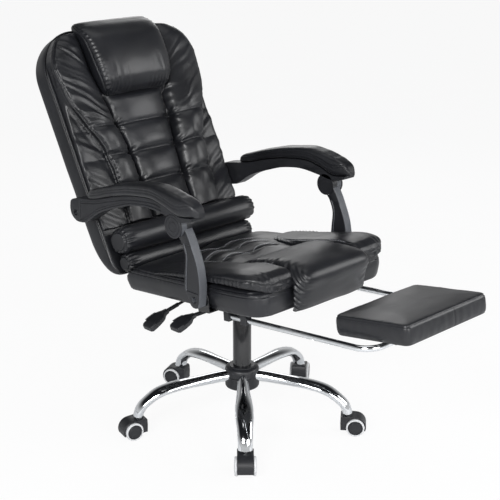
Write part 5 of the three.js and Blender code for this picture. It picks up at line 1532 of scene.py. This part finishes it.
def make_castors():
    """Twin-wheel castors: pale tread rings with black caps, under a moulded hood, on a plated stem."""
    tread = turned("castor_tread", CASTOR_TREAD, 48)
    cap = turned("castor_cap", CASTOR_CAP, 48)
    axle = turned("castor_axle", [(4, -22), (4, 22)], 20)
    stem = turned("castor_stem", CASTOR_STEM, 28)
    near = moved(CASTOR_TRAIL, 0, WHEEL_RADIUS) @ Matrix.Rotation(math.pi / 2, 4, "X")
    far = near @ Matrix.Rotation(math.pi, 4, "X")
    for number, (angle, castor_turn) in enumerate(zip(LEG_ANGLES, CASTOR_TURNS), 1):
        castor = f"castor_{number}"
        away = Vector((CASTOR_CIRCLE * math.cos(angle), CASTOR_CIRCLE * math.sin(angle), 0))
        turn = Matrix.Rotation(math.radians(castor_turn), 4, "Z")
        place = FLOOR_PLACE @ Matrix.Translation(away) @ turn
        treads = joined(f"{castor}_treads", *[copied(tread, "tread", side) for side in (near, far)])
        settle(treads, place, [wheel_plastic], f"{castor}_roller", [f"{castor}_wheels"])
        caps = joined(f"{castor}_caps", *[copied(cap, "cap", side) for side in (near, far)])
        settle(caps, place, [black_plastic], f"{castor}_roller")
        pin = copied(axle, f"{castor}_axle", near)
        settle(pin, place, [zinc], f"{castor}_roller")
        plated = copied(stem, f"{castor}_plated_stem", Matrix.Identity(4))
        settle(plated, place, [chrome], f"{castor}_fork", [f"{castor}_stem"])
        eased_copy(f"{castor}_hood", 1.2, f"{castor}_fork", black_plastic)
    for start in (tread, cap, axle, stem):
        bpy.data.objects.remove(start)


# Footrest tube: a long U that slides under the seat
RAIL_SPACING = 182
RAIL_RADIUS = 7.5
RAIL_REAR = 130
RAIL_BEND = 45


def make_footrest_tube():
    """One chrome tube bent into a long U, lying under the seat."""
    straight = RAIL_SPACING - RAIL_BEND
    down = [-RAIL_REAR, -RAIL_REAR - 120, -RAIL_CROSS + RAIL_BEND + 90]
    line = [Vector((-RAIL_SPACING, 0, height)) for height in down]
    for _, sign in reversed(SIDES):
        for step in range(13):
            angle = math.radians(7.5 * (12 - step if sign < 0 else step))
            across = sign * (straight + RAIL_BEND * math.sin(angle))
            line.append(Vector((across, 0, -RAIL_CROSS + RAIL_BEND * (1 - math.cos(angle)))))
    line += [Vector((RAIL_SPACING, 0, height)) for height in reversed(down)]
    radii = [RAIL_RADIUS] * len(line)
    tube = swept("footrest_tube", line, radii, radii, 24)
    tube.data.transform(moved(0, 0, -RAIL_DROP) @ Matrix.Rotation(-math.pi / 2, 4, "X"))
    settle(tube, SEAT_PLACE, [chrome], "footrest_slider", ["footrest_frame"])


# Levers: rods with ribbed sleeves and flat paddles
LEVER_PIVOT = 50
LEVER_BEND = 120
LEVER_NECK = 196
ROD_END = 222
LEVER_BARREL = [(4.6, -7.5), (5, -7), (5, 7), (4.6, 7.5)]
ROD_RADIUS = 4
SLEEVE_START = 148
SLEEVE_PITCH = 4.3
SLEEVE_RIBS = 9
SLEEVE_RIB = [(4.2, 0), (5.6, 0.6), (5.6, 2.4), (4.2, 3)]
PADDLE_ROOT = 186
# Distance out and share of the fall from neck to tip, along a paddle
PADDLE_FALLS = [(200, 0.07), (214, 0.3), (238, 0.68), (252, 0.93), (256, 1)]
PADDLE_WIDTHS = [(0, 6.72), (0.16, 8.4), (0.36, 15.68), (0.72, 18.48), (0.94, 17.92), (1, 14.56)]
PADDLE_DEPTHS = [(0, 5.2), (0.1, 5.46), (0.3, 8.32), (0.7, 9.1), (0.94, 8.32), (1, 5.98)]


def make_lever(name, back, root, neck, tip):
    """Steel rod in a ribbed sleeve, with a flat moulded paddle; root, neck and tip are heights."""
    halfway = mix(root, neck, 0.5)
    rod_ends = [(-LEVER_PIVOT, 0, root), (-LEVER_BEND, 0, halfway), (-LEVER_NECK, 0, neck)]
    rod_line = smooth_line([*rod_ends, (-ROD_END, 0, mix(neck, tip, 0.45))], 14)
    radii = [ROD_RADIUS] * len(rod_line)
    rod = swept(f"{name}_steel", rod_line, radii, radii, 20)
    barrel = turned("barrel", LEVER_BARREL, 20)
    barrel.data.transform(moved(-LEVER_PIVOT, 0, root) @ Matrix.Rotation(math.pi / 2, 4, "X"))
    rod = joined(f"{name}_steel", rod, barrel)
    place = FLOOR_PLACE @ moved(0, back, 0)
    settle(rod, place, [black_steel], name, [f"{name}_rod"])
    paddle_line = [(-PADDLE_ROOT, 0, mix(root, neck, 0.93))]
    paddle_line += [(-out, 0, mix(neck, tip, fall)) for out, fall in PADDLE_FALLS]
    widths = [ease(PADDLE_WIDTHS, share) for share in shares(16)]
    depths = [ease(PADDLE_DEPTHS, share) for share in shares(16)]
    paddle = bar(f"{name}_paddle", smooth_line(paddle_line, 16), widths, depths, 2)
    shaping(paddle)
    sink(paddle, 3.2, 0.8, [-0.9], lambda middle, normal: normal.z > 0.7 and -246 < middle.x < -212)
    finished(paddle)
    settle(paddle, place, [black_plastic], name, [f"{name}_handle"])
    sleeves = []
    for step in range(SLEEVE_RIBS):
        out = SLEEVE_START + step * SLEEVE_PITCH
        rib = turned(f"sleeve_{step}", SLEEVE_RIB, 20)
        height = ease([(LEVER_BEND, halfway), (LEVER_NECK, neck)], out)
        rib.data.transform(moved(-out, 0, height) @ Matrix.Rotation(-math.pi / 2, 4, "Y"))
        sleeves.append(rib)
    sleeve = joined(f"{name}_sleeve", *sleeves)
    settle(sleeve, place, [black_plastic], name)


# Arm rails and posts
RAIL_MIDDLE = 276
RAIL_HALF_WIDTH = 20
POST_MIDDLE = 269.5
POST_HALF_WIDTH = 12.5
ARM_INSIDE = 250
ARM_OUTSIDE = 300
# The rail's lug meets the post's knuckle in front, under a round cap
KNUCKLE_RADIUS = 29
LUG_FACE = 273.4
KNUCKLE_BACK = 274
KNUCKLE_FACE = 290
CAP_RADIUS = 30
BOLT_HEAD_ROOM = 8.3
BOLT_BORE = 5.3
POST_FRONT_SHARES = [
    (-0.118, -0.03), (-0.1, -0.08), (0.19, -0.115), (0.42, -0.085), (0.73, 0.034), (0.94, 0.146), (1.05, 0.235),
]
POST_REAR_SHARES = [
    (-0.118, 0.03), (-0.09, 0.08), (-0.04, 0.107), (0.13, 0.208), (0.33, 0.2), (0.57, 0.18), (0.81, 0.27), (0.9, 0.4),
    (1.05, 0.5),
]
HINGE_FROM_POST = leaning(SEAT_TILT) @ Vector((0, HINGE_BACK + ARM_FORWARD, HINGE_RISE - ARM_RISE))
REAR_BOLT = (POST_LEAN + HINGE_FROM_POST.y, POST_RISE + HINGE_FROM_POST.z)
HINGE_CAP = [
    (5, -34), (5, 0), (29.4, 0), (30, 0.6), (30, 4.4), (29.2, 5.5), (27.8, 5.7), (24.6, 5.7), (24.1, 4.8),
    (22.9, 4.8), (22.4, 5.7), (14, 5.7), (13.4, 4.7), (12.2, 4.7), (11.6, 5.7), (5, 6), (1, 6),
]


def level_bar(name, places, foot_rows, top_rows, half_thickness, least, corner):
    """Bar along X whose foot and top follow rows of shares of the post's rise, with its rings left square."""
    line = []
    heights = []
    for place in places:
        foot = ease(foot_rows, place) * POST_RISE
        top = ease(top_rows, place) * POST_RISE
        line.append(Vector((place * POST_RISE, 0, (top + foot) / 2)))
        heights.append(max(top - foot, least) / 2)
    return bar(name, line, [half_thickness(place) for place in places], heights, corner, level=True)


def make_arm_rail(side, sign):
    """Moulded rail with a sunk panel along its outer face, a knuckle in front and a bolt hole behind."""
    places = [mix(-0.05, 2.47, share) for share in shares(30)] + [2.53, 2.58, 2.62, 2.65, 2.67, 2.68]
    rail = level_bar(
        "rail", places, RAIL_FOOT_SHARES, RAIL_TOP_SHARES,
        lambda place: RAIL_HALF_WIDTH - 1.5 * bump(place - places[-1], 0.02), least=6, corner=2.4,
    )
    rail.data.transform(moved(sign * RAIL_MIDDLE, 0, 0) @ Matrix.Rotation(math.pi / 2, 4, "Z"))
    shaping(rail)
    sink(rail, 4.2, 1.3, [-1.8, 1.6], lambda middle, normal: normal.x * sign > 0.98 and 100 < middle.y < 436)
    finished(rail)
    carve(
        rail,
        drum("cap_room", CAP_RADIUS + 0.6, sign * LUG_FACE, sign * ARM_OUTSIDE, POST_LEAN, POST_RISE),
        drum("bolt_room", BOLT_HEAD_ROOM, sign * 281.6, sign * ARM_OUTSIDE, *REAR_BOLT, 32),
        drum("bolt_bore", BOLT_BORE, sign * ARM_INSIDE, sign * ARM_OUTSIDE, *REAR_BOLT, 32),
    )
    lug = drum("lug", KNUCKLE_RADIUS, sign * (RAIL_MIDDLE - RAIL_HALF_WIDTH), sign * LUG_FACE, POST_LEAN, POST_RISE)
    rail = smoothed(joined(f"arm_rail_{side}_moulding", rail, lug))
    body = f"arm_upper_{side}"
    settle(rail, ARM_PLACE, [black_plastic], body, [f"arm_rail_{side}"])
    cap = turned(f"hinge_cap_{side}_disc", HINGE_CAP, 56)
    outwards = moved(sign * (KNUCKLE_FACE + 0.3), POST_LEAN, POST_RISE) @ Matrix.Rotation(sign * math.pi / 2, 4, "Y")
    settle(cap, ARM_PLACE @ outwards, [black_plastic], body, [f"hinge_cap_{side}"])


def make_arm_post(side, sign):
    """Moulded post with a sunk panel on its side, a finely ribbed front and a ribbed knuckle."""
    places = [-0.118, -0.112, -0.1, -0.08, -0.05, -0.01] + [mix(0.03, 1.05, share) for share in shares(24)]
    post = level_bar(
        "post", places, POST_FRONT_SHARES, POST_REAR_SHARES, lambda place: POST_HALF_WIDTH, least=8, corner=2
    )
    upright = Matrix(((0, 1, 0, sign * POST_MIDDLE), (0, 0, 1, 0), (1, 0, 0, 0), (0, 0, 0, 1)))
    post.data.transform(upright)
    shaping(post)
    for face in (1, -1):
        sink(post, 4.2, 1.2, [-1.8], lambda middle, normal: normal.x * face > 0.98 and 12 < middle.z < 140)
    finished(post)
    carve(
        post,
        drum("lug_room", KNUCKLE_RADIUS + 0.6, sign * ARM_INSIDE, sign * KNUCKLE_BACK, POST_LEAN, POST_RISE),
        drum("bolt_room", BOLT_HEAD_ROOM, sign * 268, sign * KNUCKLE_FACE, 0, 0, 32),
    )
    knuckle = drum("knuckle", KNUCKLE_RADIUS, sign * KNUCKLE_BACK, sign * KNUCKLE_FACE, POST_LEAN, POST_RISE)
    post = smoothed(joined(f"arm_post_{side}_moulding", post, knuckle))
    finishes = [black_plastic, ribbed_plastic]
    settle(post, ARM_PLACE, finishes, f"arm_lower_{side}", [f"arm_post_{side}"])
    for face in post.data.polygons:
        face.material_index = 1 if face.normal.y < -0.4 else 0


# CAD nodes that keep their shape get their finish
NODE_FINISHES = [
    (dark_cloth, ["seat_board", "footrest_board"]),
    (zinc, ["lift_piston", "recline_pin"]),
    (zinc, ["lower_bolt_left", "lower_bolt_right", "rear_bolt_left", "rear_bolt_right"]),
]
STEEL_NODES = {
    "seat": ["mechanism_plate", "seat_hinge_bar_left", "seat_hinge_bar_right", "arm_mount_left", "arm_mount_right"],
    "footrest_pad": ["footrest_clamp_left", "footrest_clamp_right"],
    "back": ["back_bracket"],
}


def dress_nodes():
    """Gives the small steel and cloth parts their finish, and the visible steel eased edges."""
    for finish, nodes in NODE_FINISHES:
        for name in nodes:
            for slot in frame["nodes"][name].material_slots:
                slot.material = finish
    for body, nodes in STEEL_NODES.items():
        for name in nodes:
            eased_copy(name, 0.8, body, black_steel)
    for side, _ in SIDES:
        eased_copy(f"footrest_guide_{side}", 0.8, "seat", black_plastic)


# Camera, lamps and floor
VIEW_AZIMUTH = math.radians(-44.6)
VIEW_ELEVATION = math.radians(18.46)
VIEW_DISTANCE = 3.165
VIEW_HEIGHT = 0.4954
VIEW_SHIFT = 0.0216
VIEW_LENS = 85.6
SENSOR_WIDTH = 36
FLOOR_GLOW_SHARE = 0.92
LAMP_AIM = Vector((0, 0, 0.55))
# Name, place, watts and size of each lamp
LAMPS = [
    ("key_softbox", (-3.1, -1.5, 2.2), 105, 1.4),
    ("front_softbox", (-0.7, -3.5, 1.6), 60, 1.7),
    ("left_softbox", (2.2, -2.3, 1.9), 42, 1.5),
    ("top_panel", (0.2, 0.3, 3.2), 12, 2.0),
    ("rear_strip", (2.0, 2.2, 1.6), 10, 1.2),
]


def set_stage():
    """The photograph's view, a pale room with five lamps, and a white floor."""
    scene = bpy.context.scene
    scene.view_settings.view_transform = "Standard"
    flat = math.cos(VIEW_ELEVATION)
    back = Vector((math.sin(VIEW_AZIMUTH) * flat, -math.cos(VIEW_AZIMUTH) * flat, math.sin(VIEW_ELEVATION)))
    right = Vector((math.cos(VIEW_AZIMUTH), math.sin(VIEW_AZIMUTH), 0))
    camera = bpy.data.cameras.new("photo_camera")
    camera.lens = VIEW_LENS
    camera.sensor_width = SENSOR_WIDTH
    viewer = add_object("photo_camera", camera)
    aim = Vector((column.x, column.y, VIEW_HEIGHT)) + right * VIEW_SHIFT
    viewer.location = aim + back * VIEW_DISTANCE
    viewer.rotation_euler = back.to_track_quat("Z", "Y").to_euler()
    scene.camera = viewer
    for name, place, watts, size in LAMPS:
        lamp = bpy.data.lights.new(name, "AREA")
        lamp.energy = watts
        lamp.size = size
        holder = add_object(name, lamp)
        holder.location = place
        holder.rotation_euler = (LAMP_AIM - Vector(place)).to_track_quat("-Z", "Y").to_euler()
    light_room(scene)
    bpy.ops.object.select_all(action="DESELECT")
    bpy.ops.mesh.primitive_plane_add(size=80, location=(0, 0, 0))
    floor = bpy.context.active_object
    floor.name = "pale_floor"
    floor.data.materials.append(floor_finish())


def light_room(scene):
    """A dim grey room that lights the chair, bright near the floor where it is mirrored, and white to the camera."""
    world = bpy.data.worlds.new("pale_room")
    scene.world = world
    world.use_nodes = True
    tree = world.node_tree
    rays = add_node(tree, "LightPath")
    height = add_node(tree, "SeparateXYZ", Vector=add_node(tree, "TexCoord").outputs["Generated"]).outputs["Z"]
    room = add_node(tree, "ValToRGB", stops=[(0.0, "#54565b"), (0.8, "#c4c7cc")], Fac=height).outputs["Color"]
    feed(tree, tree.nodes["Background"], Color=room, Strength=0.5)
    wall = add_node(tree, "ValToRGB", stops=[(0.12, "#ffffff"), (0.6, "#26272a")], Fac=height).outputs["Color"]
    mirrored = add_node(tree, "Background", Color=wall, Strength=0.6)
    paper = add_node(tree, "Background", Color=(1, 1, 1, 1), Strength=1.0)
    for shown, ray in ((mirrored, "Is Glossy Ray"), (paper, "Is Camera Ray")):
        show_instead(tree, "World Output", shown.outputs["Background"], rays.outputs[ray])


def show_instead(tree, end, shown, share):
    """Mixes another shader, by a share, into what reaches the tree's end node."""
    surface = tree.nodes[end].inputs["Surface"]
    choice = add_node(tree, "MixShader", Fac=share)
    tree.links.new(surface.links[0].from_socket, choice.inputs[1])
    tree.links.new(shown, choice.inputs[2])
    tree.links.new(choice.outputs["Shader"], surface)


def floor_finish():
    """White paper sweep, which shows as nearly white to the camera and still takes the shadow."""
    finish, tree, shader, place = new_finish("paper_sweep", "#f0f0f0", Roughness=0.9)
    fibres = add_node(tree, "TexNoise", Vector=place, Scale=1 / (300 * MM)).outputs["Fac"]
    tone = add_node(tree, "ValToRGB", stops=[(0.3, "#eeeeee"), (0.7, "#f3f3f3")], Fac=fibres).outputs["Color"]
    feed(tree, shader, Base_Color=tone)
    glow = add_node(tree, "Emission", Color=(1, 1, 1, 1), Strength=1.0)
    share = add_node(tree, "Math", {"operation": "MULTIPLY"})
    tree.links.new(add_node(tree, "LightPath").outputs["Is Camera Ray"], share.inputs[0])
    share.inputs[1].default_value = FLOOR_GLOW_SHARE
    show_instead(tree, "Material Output", glow.outputs["Emission"], share.outputs["Value"])
    return finish


set_stage()
dress_nodes()
make_back_shell()
back_skin = make_back_cushion()
back_trim(back_skin)
make_headrest()
make_roll("upper_roll", UPPER_ROLL, "lumbar_roll_upper")
make_roll("lower_roll", LOWER_ROLL, "lumbar_roll_lower")
make_seat_cushion()
for side, sign in SIDES:
    make_thigh_pillow(side, sign)
make_front_panel()
make_footrest_cushion()
for side, sign in SIDES:
    make_arm_pad(side, sign)
    make_arm_rail(side, sign)
    make_arm_post(side, sign)
make_star_base()
make_castors()
make_footrest_tube()
make_lever("height_lever", back=-15, root=366, neck=365, tip=345)
make_lever("recline_lever", back=93, root=376, neck=345, tip=316)
